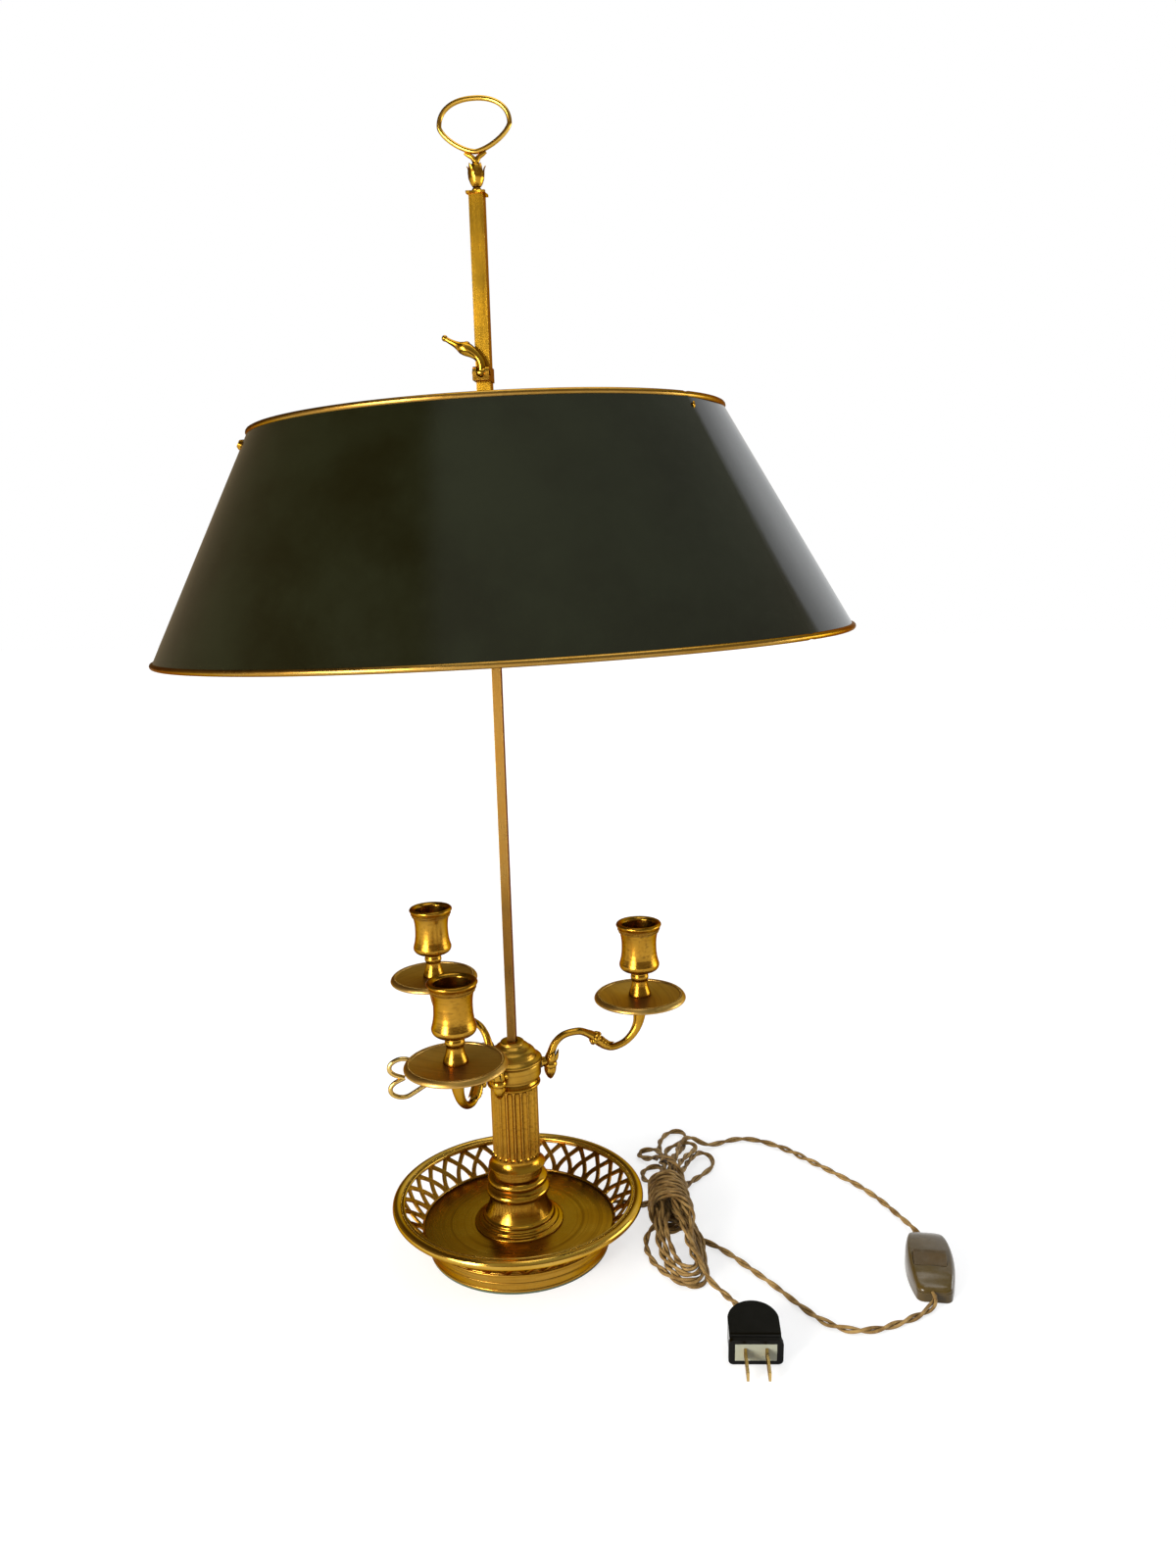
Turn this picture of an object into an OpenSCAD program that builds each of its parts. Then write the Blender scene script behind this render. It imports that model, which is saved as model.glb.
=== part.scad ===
// Three-light bouillotte lamp: a pierced gallery tray with a fluted column, three scroll arms
// with candle cups, and an oval sheet-metal shade on a square sleeve that slides on a square rod.
// Millimetres, +Z up. The origin is the centre of the foot, on the table.

/* [Foot and tray] */
// Outer radius of the foot drum
foot_r = 64; // [56:0.5:72]
// Height of the tray floor above the table
floor_z = 17; // [15:0.5:24]
// Thickness of the tray floor
floor_t = 2.4; // [1.6:0.1:4]
// Thickness of the drum wall
foot_wall = 3; // [2:0.1:4]
// Thickness of the felt under the foot
felt_t = 1.2; // [0.8:0.1:2]
// Thickness of the cast iron weight under the tray
weight_t = 5; // [3:0.5:6]

/* [Gallery] */
// Number of bays in the interlaced arcade
bays = 33; // [24:1:40]
// Height of the pierced wall, measured upright
gallery_h = 18.2; // [14:0.2:24]
// Lean of the pierced wall away from upright, in degrees
gallery_lean = 45; // [30:1:50]
// Thickness of the pierced wall
gallery_t = 1.8; // [1.2:0.1:2.6]
// Width of one rib of the arcade
rib_w = 2; // [1.2:0.1:2.2]
// Radius of the rolled bead on the gallery's edge
rim_bead_r = 2.1; // [1.6:0.1:3]

/* [Column] */
// Radius of the column's foot ring on the tray
bell_r = 30.6; // [26:0.2:36]
// Height of the bell and its torus
bell_h = 40; // [34:0.5:50]
// Radius of the column shaft
column_r = 16.3; // [14:0.1:20]
// Height of the column between the bell and the collar
column_h = 67; // [55:1:90]
// Number of flutes
flutes = 20; // [12:1:24]
// Radius of the round tool that cuts a flute
flute_r = 2.1; // [1.5:0.1:2.3]
// Radius of the collar that carries the arms
collar_r = 19.2; // [17:0.2:24]
// Height of the collar
collar_h = 12.8; // [12:0.2:18]
// Height of the stepped cap on the collar
cap_h = 14.2; // [10:0.2:20]

/* [Arms, pans and cups] */
// Direction of the first arm, in degrees from +X
arm_turn = -101; // [-180:1:180]
// Distance of a candle cup from the rod
arm_reach = 91; // [80:1:110]
// Height of the arm's seat under the drip pan, above the collar's foot
arm_rise = 47.6; // [40:0.2:60]
// Thickness of the arm at its crest
arm_d = 5.4; // [4.4:0.1:7]
// Radius of a drip pan
pan_r = 32; // [26:0.5:38]
// Thickness of a drip pan's floor
pan_t = 1.4; // [1:0.1:2.4]
// Height of a candle cup
cup_h = 52.6; // [46:0.2:64]
// Radius of the cup's flared mouth
cup_mouth_r = 15.7; // [14:0.1:18]
// Radius of the bore for the candle
candle_r = 11.2; // [10:0.1:11.6]
// Depth of the straight candle bore
candle_depth = 23; // [15:0.5:26]

/* [Rod and sleeve] */
// Side of the square rod
rod_side = 5.8; // [5:0.1:7]
// Length of the square rod above the cap
rod_len = 499; // [440:1:560]
// Side of the square sleeve
sleeve_side = 8.8; // [8.6:0.1:10]
// Length of the square sleeve
sleeve_len = 142; // [120:1:180]
// Length of the rod that is inside the sleeve
sleeve_lap = 102; // [60:1:110]
// Clearance between the rod and the sleeve, each side
slide_gap = 0.1; // [0.05:0.01:0.2]

/* [Shade] */
// Half length of the shade at its top edge
shade_top_a = 146; // [120:1:170]
// Half width of the shade at its top edge
shade_top_b = 124; // [100:1:150]
// Half length of the shade at its bottom edge
shade_low_a = 220.5; // [190:0.5:250]
// Half width of the shade at its bottom edge
shade_low_b = 177; // [150:1:210]
// Height of the shade between its two rim beads
shade_h = 135.5; // [110:0.5:170]
// Thickness of the shade's sheet
shade_t = 1; // [0.8:0.1:1.6]
// How far the shade leans on its spider, in degrees
shade_tilt = 1.8; // [0:0.1:3]
// Radius of the brass bead along each edge
bead_r = 1.9; // [1.4:0.1:2.6]

/* [Finial and lever] */
// Outer width of the finial ring
ring_w = 45.6; // [36:0.2:56]
// Outer height of the finial ring
ring_h = 32.2; // [26:0.2:40]
// Thickness of the finial ring's wire
ring_wire = 2.9; // [2.2:0.1:4]
// Height of the lever's pivot above the sleeve's lower end
pivot_up = 39; // [30:0.5:60]
// Distance of the lever's pivot from the sleeve's front face
pivot_out = 3.8; // [3.4:0.1:5]
// Radius of the lever's pin
pin_r = 1.2; // [1:0.05:1.5]

/* [Key] */
// Length of the key from the rod to the far end of its heart
key_len = 85.5; // [75:0.5:100]
// Height of the heart-shaped bow
heart_h = 30.4; // [24:0.2:36]
// Thickness of the bow's wire
heart_wire = 3.2; // [2.4:0.1:4]
// Radius of the key's screw
key_r = 1.9; // [1.5:0.1:2.2]

/* [Lampholders] */
// Distance of the lampholders' axis below the sleeve
holder_drop = 70; // [65:1:78]
// Radius of a lampholder
holder_r = 13; // [11:0.5:15]
// Length of a lampholder
holder_len = 36; // [32:0.5:42]
// Radius of a bulb's glass
bulb_r = 17.5; // [14:0.5:18]
// Length of a bulb's glass beyond its holder
bulb_len = 72; // [50:1:85]

/* [Cord, switch and plug] */
// Thickness of the twisted cord
cord_d = 4.4; // [3.6:0.1:5]
// Length of the cord switch
switch_len = 67; // [60:0.5:75]
// Width of the cord switch
switch_w = 31; // [29:0.5:36]
// Height of the cord switch
switch_h = 15; // [13.5:0.5:18]
// Width of the rocker across the switch
rocker_w = 21; // [14:0.5:21.5]
// Width of the plug
plug_w = 31; // [28:0.5:36]
// Length of the plug's body
plug_len = 33; // [30:0.5:40]
// Height of the plug
plug_h = 18; // [14:0.5:22]
// Distance between the plug's two blades
blade_gap = 12.7; // [12.7:0.1:12.7]

/* [Hidden] */
$fn = 64;
fit = 0.1;      // clearance of a piece that slips over another
run = 0.05;     // radial clearance of a turning pin
seat = 0.2;     // gap between curved pieces that are soldered or rolled together

BRASS = [0.72, 0.53, 0.2];
DARK_BRASS = [0.55, 0.4, 0.15];
STEEL = [0.6, 0.6, 0.62];
TOLE = [0.1, 0.11, 0.06];
CREAM = [0.86, 0.84, 0.72];
CORD = [0.6, 0.46, 0.22];
TAUPE = [0.55, 0.5, 0.42];

// ---- levels and radii that follow from the sizes above
under_floor = floor_z - floor_t;
drum_in = foot_r - foot_wall;
gallery_r = foot_r + 2;                        // middle of the pierced wall where it stands
wall_half = gallery_t / cos(gallery_lean) / 2; // half the wall's thickness, measured level
gallery_top = floor_z + gallery_h;
rim_r = gallery_r + gallery_h * tan(gallery_lean);
slant = gallery_h / cos(gallery_lean);

pipe_r = 4.9;                                  // threaded tube that ties the stem together
pipe_bore = 3.2;
bell_top = floor_z + bell_h;
column_top = bell_top + column_h;
collar_top = column_top + collar_h;
cap_top = collar_top + cap_h;
pipe_top = column_top + 6;
tenon_r = rod_side / 2 - 0.05;                 // round foot of the rod, inside the collar
lead_r = 1.3;                                  // flex inside the rod
rod_top = cap_top + rod_len;

pan_seat = column_top + arm_rise;              // underside of the pan's boss
pan_boss = 1.4;
pan_floor = pan_seat + pan_boss + pan_t;
pan_rim_h = 1;
cup_top = pan_floor + cup_h;
stud_r = 2.4;
stud_len = 12.6;
lug_z = column_top + 9;

sleeve_z = rod_top - sleeve_lap;
sleeve_top = sleeve_z + sleeve_len;
holder_z = sleeve_z - holder_drop;
sleeve_in = rod_side / 2 + slide_gap;
sleeve_out = sleeve_side / 2;
pivot_z = sleeve_z + pivot_up;
pivot_y = -sleeve_out - pivot_out;
cheek_in = 2.7;                                // half the slot between the clip's cheeks
eye_r = 2.8;                                   // round end of the lever, on its pin
clip_w = sleeve_out + 0.7;
cap_plate = 1.4;
bud_h = 20.6;
ring_z = sleeve_top + cap_plate + bud_h + ring_h / 2 + 2 * seat;

shade_top_z = sleeve_z + 10.5;                 // centre of the top bead
shade_low_z = shade_top_z - shade_h;
screw_z = shade_top_z - 7.5;                   // height of the screws that hold the shade
spider_turns = [197, 17];                      // directions of the two spokes
spoke_up = 3.2;                                // height of the spokes above the screws
spoke_r = 1.7;
screw_r = 1.5;

key_turn = arm_turn + 300;                     // midway between the first and the last arm
key_z = column_top + 8.5;

switch_at = [279, -19.5, 0];                   // on the table, under the rocker's axis
switch_turn = -2.8;
switch_shift = [1, 4, 0];                      // middle of the body from there
split_z = 6;                                   // where the switch's two halves meet
rocker_z = 9.4;
rocker_r = 4.9;
pivot_r = 1.2;                                 // the rocker's two pins
plug_at = [163.5, -118, 0];                    // middle of the face's lower edge, on the table
plug_turn = 4.8;
plug_pitch = 9;                                // the plug's back is held up by its cord
blade_out = 18;                                // length of a blade outside the plug
gland_turn = 40;
gland_z = 6.5;
gland_r = 4.2;
gland_lip_r = 5.2;
gland_out = 0.6;                               // the lip's seat outside the drum

// Routes of the cord on the table; the first and last point of each lie inside what it joins.
INLET = [[50.5, 42.4, 6.5], [59, 49, 4.6], [68, 51, 2.6], [76, 49, 2.4], [84, 47.5, 3.4], [92, 49, 6],
    [97, 50, 8]];
TO_SWITCH = [[113, 133, 7.5], [117.5, 139.5, 7], [123, 140, 6], [136, 144.5, 2.8], [157, 155.5, 2.4],
    [171, 153, 2.4], [191, 141, 2.4], [209, 124, 2.4], [244, 88, 2.4], [258, 68, 2.4],
    [268, 48, 3], [275, 30, 5], [279.6, 14, 6.4]];
FROM_SWITCH = [[278.2, -45, 6.2], [275.8, -58, 5], [268, -65, 3], [253, -75, 2.4], [236, -83, 2.4],
    [220, -84, 2.4], [206, -77, 2.4], [192, -62, 2.4], [177, -43, 2.4], [161, -24.5, 2.4],
    [148, -10, 2.6], [139, -1.5, 3], [130.5, 4, 4], [119, 8, 7]];
TO_PLUG = [[126, -40, 8], [132, -45, 8], [136, -49.5, 6], [142, -54.5, 4.5], [148, -64, 5.5], [152.5, -75, 9],
    [157, -90, 13.4]];

// Loops of the hank, each between two upright discs: x, y, radius and height of either
LOOPS = [[[107, 6, 15, 19], [121, -38, 11.5, 12]], [[99, 92, 8, 17], [100, 153, 12.5, 6]],
    [[112, 84, 6, 14], [126, 114, 10.5, 8]], [[95, 80, 5, 10], [88, 91, 11.5, 7]],
    [[94, 108, 6, 12], [79, 124, 7, 6]], [[103, 58, 9.5, 24], [112, 128, 10, 10]]];
// Waist of the hank: middle of its end towards the plug, direction, tilt, length and end radii
waist_from = [107.1, 13, 17];
waist_turn = 7.9;
waist_tilt = 2.4;
waist_len = 45;
waist_r = [16.8, 14.9];

// ---- curves and sweeps

// Points of an arc round c, from angle a0 to a1
function arc(c, r, a0, a1, n = 8) = [for (i = [0:n]) let (a = a0 + (a1 - a0) * i / n)
    c + r * [cos(a), sin(a)]];

// One point of a smooth curve through the points p, at parameter t between p[i] and p[i + 1]
function on_curve(p, i, t) = let (
    last = len(p) - 1,
    a = p[max(i - 1, 0)], b = p[i], c = p[min(i + 1, last)], d = p[min(i + 2, last)])
    0.5 * (2 * b + (c - a) * t + (2 * a - 5 * b + 4 * c - d) * t * t
        + (3 * b - a - 3 * c + d) * t * t * t);

// The smooth curve through p, with `each_step` points to a stretch
function curve(p, each_step) = concat(
    [for (i = [0:len(p) - 2]) for (k = [0:each_step - 1]) on_curve(p, i, k / each_step)],
    [p[len(p) - 1]]);

function unit(v) = v / norm(v);

// Direction of the path p at its point i
function heading(p, i) = unit(p[min(i + 1, len(p) - 1)] - p[max(i - 1, 0)]);

// A tube along the points p, whose radius at point i is r[i]. `side` lies across the whole path.
module tube(p, r, sides = 8, side = [0, 0, 1]) {
    count = len(p);
    rings = [for (i = [0:count - 1]) let (
        t = heading(p, i), u = unit(cross(t, side)), v = cross(u, t))
        for (k = [0:sides - 1]) let (a = 360 * k / sides) p[i] + r[i] * (cos(a) * u + sin(a) * v)];
    skin = [for (i = [0:count - 2]) for (k = [0:sides - 1]) let (
        m = (k + 1) % sides, q = i * sides)
        [q + k, q + m, q + sides + m, q + sides + k]];
    caps = [for (k = [0:sides - 1]) let (m = (k + 1) % sides, last = (count - 1) * sides)
        for (cap = [[m, k, count * sides], [last + k, last + m, count * sides + 1]]) cap];
    polyhedron(concat(rings, [p[0], p[count - 1]]), concat(split(skin), caps), convexity = 6);
}
function split(quads) = [for (q = quads) for (half = [[q[0], q[1], q[2]], [q[0], q[2], q[3]]]) half];

// A closed wire along the looped points p
module loop_wire(p, r, sides = 8, side = [0, 1, 0]) {
    count = len(p);
    rings = [for (i = [0:count - 1]) let (
        t = unit(p[(i + 1) % count] - p[(i + count - 1) % count]),
        u = unit(cross(t, side)), v = cross(u, t))
        for (k = [0:sides - 1]) let (a = 360 * k / sides) p[i] + r * (cos(a) * u + sin(a) * v)];
    skin = [for (i = [0:count - 1]) for (k = [0:sides - 1]) let (
        m = (k + 1) % sides, q = i * sides, n = ((i + 1) % count) * sides)
        [q + k, q + m, n + m, n + k]];
    polyhedron(rings, split(skin), convexity = 6);
}

module cord(points) {
    p = curve(points, 2);
    color(CORD) tube(p, [for (q = p) cord_d / 2], 8);
}

// A straight tube along X
module x_rod(r, from, to) {
    translate([from, 0, 0]) rotate([0, 90, 0]) cylinder(r = r, h = to - from);
}

// ---- foot and tray

module base_foot() {
    flange_r = gallery_r + wall_half + 0.6;
    line_z = felt_t + (floor_z - felt_t) * 0.5;    // fine groove at half height
    color(BRASS) difference() {
        rotate_extrude($fn = 128) polygon([[0, under_floor], [drum_in - 1, under_floor],
            [drum_in, under_floor - 1], [drum_in, felt_t], [foot_r - 1, felt_t],
            [foot_r - 0.4, felt_t + 0.5], [foot_r - 0.4, felt_t + 1.6], [foot_r - 1, felt_t + 2],
            [foot_r - 0.4, felt_t + 2.4], [foot_r - 0.1, line_z - 1.6], [foot_r - 0.1, line_z - 0.3],
            [foot_r - 0.5, line_z], [foot_r, line_z + 0.3], [foot_r, floor_z - 3.6],
            [foot_r + 0.8, floor_z - 2.4], [flange_r, floor_z - 1.4], [flange_r, floor_z],
            [0, floor_z]]);
        translate([0, 0, under_floor - 1]) cylinder(r = pipe_r + fit, h = floor_t + 2);
        // hole and spot face of the cord gland
        rotate([0, 0, gland_turn]) translate([0, 0, gland_z]) {
            x_rod(gland_r + fit, drum_in - 4, foot_r + 4);
            x_rod(gland_lip_r + fit, foot_r + gland_out, foot_r + 4);
        }
    }
}

module base_felt() {
    color([0.16, 0.2, 0.14]) cylinder(r = foot_r - 1, h = felt_t, $fn = 128);
}

module base_weight() {
    color([0.25, 0.25, 0.26]) translate([0, 0, under_floor - weight_t]) difference() {
        cylinder(r = drum_in - 5, h = weight_t, $fn = 128);
        translate([0, 0, -1]) cylinder(r = 13, h = weight_t + 2);
    }
}

module base_washer() {
    color(STEEL) translate([0, 0, under_floor - 1.2]) difference() {
        cylinder(r = 10, h = 1.2);
        translate([0, 0, -1]) cylinder(r = pipe_r + fit, h = 4);
    }
}

module base_nut() {
    across_corners = 16.2;
    color(STEEL) translate([0, 0, under_floor - 5.2]) difference() {
        cylinder(d = across_corners, h = 4, $fn = 6);
        translate([0, 0, -1]) cylinder(r = pipe_r + fit, h = 6);
    }
}

module tie_pipe() {
    color(STEEL) translate([0, 0, under_floor - 6]) difference() {
        cylinder(r = pipe_r, h = pipe_top - under_floor + 6);
        translate([0, 0, -1]) cylinder(r = pipe_bore, h = pipe_top);
    }
}

module cord_gland() {
    color([0.1, 0.1, 0.1]) rotate([0, 0, gland_turn]) translate([0, 0, gland_z]) difference() {
        union() {
            x_rod(gland_r, drum_in - 2, foot_r + gland_out);
            x_rod(gland_lip_r, foot_r + gland_out, foot_r + gland_out + 1.8);
        }
        x_rod(lead_r + seat, drum_in - 3, foot_r + 3);
    }
}

// The flex from the gland to the lampholders, through the pipe and the rod
module inner_lead() {
    color([0.8, 0.75, 0.6]) translate([0, 0, gland_z]) {
        rotate([0, 0, gland_turn]) x_rod(lead_r, -lead_r, foot_r + 2.2);
        translate([0, 0, -lead_r]) cylinder(r = lead_r, h = holder_z - gland_z);
    }
}

// ---- pierced gallery

// Middle line of a rib, from its foot at 0 to its crown over the next foot at 1, in bays and heights
function rib(t) = let (s = 1 - t) 3 * s * s * t * [0.08, 0.34] + 3 * s * t * t * [0.62, 0.66]
    + s * s * s * [0.06, 0] + t * t * t * [1, 1];
rib_foot = 1;                                  // plain band below the arcade
crown_s = slant - 2.6;                         // height of the crowns along the slope
bay = 360 / bays;
function wall_r(s) = gallery_r + s * sin(gallery_lean);
// Place of a point of the arcade on the flat side of the wall, `mid` bays from the opening's middle
function on_wall(q, mid) = let (s = rib_foot + (crown_s - rib_foot) * q[1])
    [wall_r(s) * sin((q[0] - mid) * bay), s];
function rib_point(t, mid, flip) = let (q = rib(t)) on_wall([flip ? flip - q[0] : q[0], q[1]], mid);
// One edge of a rib, half its width off the middle line, to the right (+1) or left (-1) going up
function rib_edge(t, mid, flip, hand) = let (
    a = rib_point(t - 0.01, mid, flip), b = rib_point(t + 0.01, mid, flip), d = unit(b - a))
    (a + b) / 2 + hand * rib_w / 2 * [d[1], -d[0]];
rib_steps = [0.04:0.08:0.97];
function mirrored(p) = [for (i = [len(p) - 1:-1:0]) [-p[i][0], p[i][1]]];
// Where the line from a to b meets the opening's middle
function at_middle(a, b) = [0, a[1] + (b[1] - a[1]) * a[0] / (a[0] - b[0])];

// Left half of each opening, from the bottom up
function lancet_left() = let (
    edge = [for (t = rib_steps) rib_edge(t, 0.5, 0, 1)],
    inside = [for (q = edge) if (q[0] < -0.15) q], n = len(inside))
    concat([[inside[0][0], rib_foot + 0.2]], [for (q = inside) if (q[1] > rib_foot + 0.4) q],
        [at_middle(inside[n - 1], edge[n])]);
function lozenge_left() = let (
    low = [for (t = rib_steps) rib_edge(t, 0, 1e-9, 1)],
    high = [for (t = rib_steps) rib_edge(t, 1, 0, 1)],
    corner = on_wall([-0.5, 0.595], 0) + [rib_w * 0.63, 0],
    out = [for (q = low) if (q[0] < -0.15 && q[1] < corner[1] - 0.3) q],
    back = [for (q = high) if (q[0] < -0.15 && q[1] > corner[1] + 0.3 && q[0] > corner[0]) q])
    concat([at_middle(out[0], [0.2, out[0][1] - 1.2])], out, [corner], back,
        [[0, back[len(back) - 1][1] + 0.6]]);
function spandrel_left() = let (
    top = crown_s - 0.2,
    edge = [for (t = rib_steps) rib_edge(t, 0.5, 1, 1)],
    keep = [for (q = edge) if (q[0] < -0.15 && q[1] > on_wall([0, 0.6], 0)[1] && q[1] < top) q])
    concat([[0, keep[0][1] - 1]], keep, [[keep[len(keep) - 1][0] - 0.6, top]]);

module opening(half, turn) {
    rotate([0, 0, turn]) translate([gallery_r, 0, floor_z]) rotate([0, gallery_lean, 0])
        rotate([90, 0, 90]) linear_extrude(height = 4 * gallery_t, center = true)
            polygon(concat(half, mirrored(half)));
}

module gallery() {
    lancet = lancet_left();
    lozenge = lozenge_left();
    spandrel = spandrel_left();
    color(BRASS) difference() {
        rotate_extrude($fn = 128) polygon([[gallery_r - wall_half, floor_z],
            [gallery_r + wall_half, floor_z], [rim_r + wall_half, gallery_top],
            [rim_r - wall_half, gallery_top]]);
        for (i = [0:bays - 1]) {
            opening(lancet, (i + 0.5) * bay);
            opening(lozenge, i * bay);
            opening(spandrel, (i + 0.5) * bay);
        }
    }
}

module gallery_rim() {
    color(BRASS) rotate_extrude($fn = 128) translate([rim_r, gallery_top]) {
        translate([1.2, rim_bead_r]) circle(r = rim_bead_r, $fn = 32);
        translate([-1.9, 1.3]) circle(r = 1.2, $fn = 24);
        polygon([[-1.9, 0], [1.2, 0], [1.2, 2.9], [-1.9, 2]]);
    }
}

// ---- column

module column_base() {
    top_z = bell_h;
    torus_z = top_z - 7;
    waist = column_r + 0.3;
    color(BRASS) translate([0, 0, floor_z]) rotate_extrude($fn = 96) difference() {
        union() {
            polygon(concat([[0, 0], [bell_r - 0.5, 0], [bell_r, 0.6], [bell_r, 1.8], [bell_r - 1, 2.8],
                [bell_r - 3.6, 3.2], [bell_r - 3.8, 4.8], [bell_r - 5.2, 5.4], [bell_r - 6, 6.6]],
                [for (k = [1:10]) let (a = k * 9)
                    [waist + (bell_r - 7 - waist) * pow(1 - k / 10, 2), 7 + (torus_z - 13) * sin(a)]],
                [[waist + 1.6, torus_z - 5], [waist + 1.6, torus_z - 3.4], [waist, torus_z - 2.6],
                [waist, top_z], [0, top_z]]));
            translate([column_r + 0.8, torus_z]) circle(r = 2.8, $fn = 32);
            translate([column_r + 1.3, torus_z + 4]) circle(r = 1.2, $fn = 24);
        }
        translate([-1, -1]) square([1 + pipe_r + fit, bell_h + 2]);
    }
}

module column() {
    flute_low = 13;
    flute_high = column_h - 6.6;
    cut_r = column_r + 0.7;                    // distance of the flute tool from the axis
    color(BRASS) translate([0, 0, bell_top]) difference() {
        rotate_extrude($fn = 96) union() {
            polygon(concat([[pipe_r + fit, 0], [column_r + 3, 0], [column_r + 3.6, 1]],
                arc([column_r + 2.8, 3.6], 1.3, -20, 90, 5),
                arc([column_r + 3.6, 8.6], 3.6, 245, 180, 6),
                [[column_r, column_h - 4.6], [column_r + 1, column_h - 4.2],
                [column_r + 1, column_h - 1.6], [column_r + 0.4, column_h], [pipe_r + fit, column_h]]));
            translate([column_r + 0.9, column_h - 2.9]) circle(r = 1.3, $fn = 24);
        }
        for (i = [0:flutes - 1]) rotate([0, 0, 360 * i / flutes]) translate([cut_r, 0, 0]) {
            translate([0, 0, flute_low]) cylinder(r = flute_r, h = flute_high - flute_low, $fn = 24);
            translate([0, 0, flute_low]) sphere(r = flute_r, $fn = 24);
            translate([0, 0, flute_high]) sphere(r = flute_r, $fn = 24);
        }
    }
}

module arm_collar() {
    color(BRASS) difference() {
        translate([0, 0, column_top]) rotate_extrude($fn = 96) polygon([[0, 0], [collar_r - 2.6, 0],
            [collar_r - 2.6, 2], [collar_r - 0.4, 2.6], [collar_r, 3.2], [collar_r, collar_h - 1],
            [collar_r - 0.6, collar_h], [0, collar_h]]);
        translate([0, 0, column_top - 1]) cylinder(r = pipe_r + fit, h = pipe_top - column_top + 1);
        translate([0, 0, column_top]) cylinder(r = tenon_r + fit, h = collar_h + 1);
        for (i = [0:2]) rotate([0, 0, arm_turn + 120 * i]) translate([0, 0, lug_z])
            x_rod(1.6 + fit, collar_r - 6, collar_r + 1);
        rotate([0, 0, key_turn]) translate([0, 0, key_z]) x_rod(key_r + run, 0, collar_r + 1);
    }
}

module hub_cap() {
    r = collar_r + 0.9;
    step = cap_h / 14.2;
    color(BRASS) translate([0, 0, collar_top]) difference() {
        rotate_extrude($fn = 96) polygon([[0, 0], [r - 0.5, 0], [r, 0.6], [r, 1.6], [r - 1.2, 2.6 * step],
            [r - 3.4, 3.6 * step], [r - 3.6, 4.6 * step], [r - 8, 8.6 * step], [r - 8.4, 9.6 * step],
            [r - 11.6, 12 * step], [r - 11.9, 12.6 * step], [r - 11.9, cap_h - 0.6],
            [r - 12.5, cap_h], [0, cap_h]]);
        translate([0, 0, cap_h / 2]) cube([rod_side + 2 * fit, rod_side + 2 * fit, cap_h + 2],
            center = true);
    }
}

// ---- arms, pans and cups. Each is modelled in the plane y = 0 and turned to its place.

function arm_angle(i) = arm_turn + 120 * i;

module arm(i) {
    seat_x = arm_reach;
    k = arm_d / 5.4;
    // distance from the rod, height and radius along the scroll, from the pan down to the acorn
    scroll = [[seat_x, pan_seat - fit, 5], [seat_x - 0.1, pan_seat - 9, 4.7],
        [seat_x - 1.6, pan_seat - 17, 3.9],
        [seat_x - 5.5, pan_seat - 25, 3.2 * k], [seat_x - 12, pan_seat - 31, 3 * k],
        [seat_x - 20.4, pan_seat - 33.6, 3 * k], [seat_x - 27, pan_seat - 31, 3.1 * k],
        [seat_x - 32.4, pan_seat - 25.6, 3.6 * k], [seat_x - 39, pan_seat - 21.2, 2.7 * k],
        [(seat_x + 3) / 2, pan_seat - 19.4, 2.7 * k], [collar_r + 17, pan_seat - 20.8, 2.7 * k],
        [collar_r + 11, pan_seat - 25.6, 2.9 * k], [collar_r + 7.8, lug_z + 6, 3.2 * k],
        [collar_r + 6.6, lug_z - 0.6, 3.7 * k]];
    line = curve(scroll, 3);
    acorn_x = collar_r + 6.6;
    color(BRASS) rotate([0, 0, arm_angle(i)]) {
        tube([for (q = line) [q[0], 0, q[1]]], [for (q = line) q[2]], 12, [0, 1, 0]);
        translate([seat_x, 0, pan_seat - 1]) cylinder(r = stud_r, h = stud_len + 1);
        translate([0, 0, lug_z]) {
            x_rod(2.6, collar_r + 0.3, acorn_x);
            x_rod(1.6, collar_r - 5, acorn_x);
        }
        // acorn drop at the scroll's end
        translate([acorn_x, 0, lug_z]) rotate_extrude($fn = 32) polygon([[0, -13.4], [0.7, -13.2],
            [1.9, -11.6], [3.3, -8], [3.7, -5], [3.7, -3.6], [4.3, -3.2], [4.4, -1.2], [3.6, 0.4],
            [0, 1.4]]);
    }
}

module drip_pan(i) {
    color(BRASS) rotate([0, 0, arm_angle(i)]) translate([arm_reach, 0, pan_floor])
        rotate_extrude($fn = 96) difference() {
            union() {
                // a flat plate whose border rolls over the edge
                polygon([[0, -pan_t], [pan_r - 4, -pan_t], [pan_r - 2.4, -pan_t - 0.6],
                    [pan_r - 0.8, -pan_t - 0.4], [pan_r, -0.6], [pan_r - 0.2, 0.2],
                    [pan_r - 1, 0.8], [pan_r - 2.2, pan_rim_h], [pan_r - 3, 0.5], [pan_r - 3.4, 0],
                    [0, 0]]);
                translate([0, -pan_t - pan_boss]) square([6, 2]);
            }
            translate([-1, -pan_t - 3]) square([1 + stud_r + fit, pan_t + 6]);
        }
}

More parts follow.
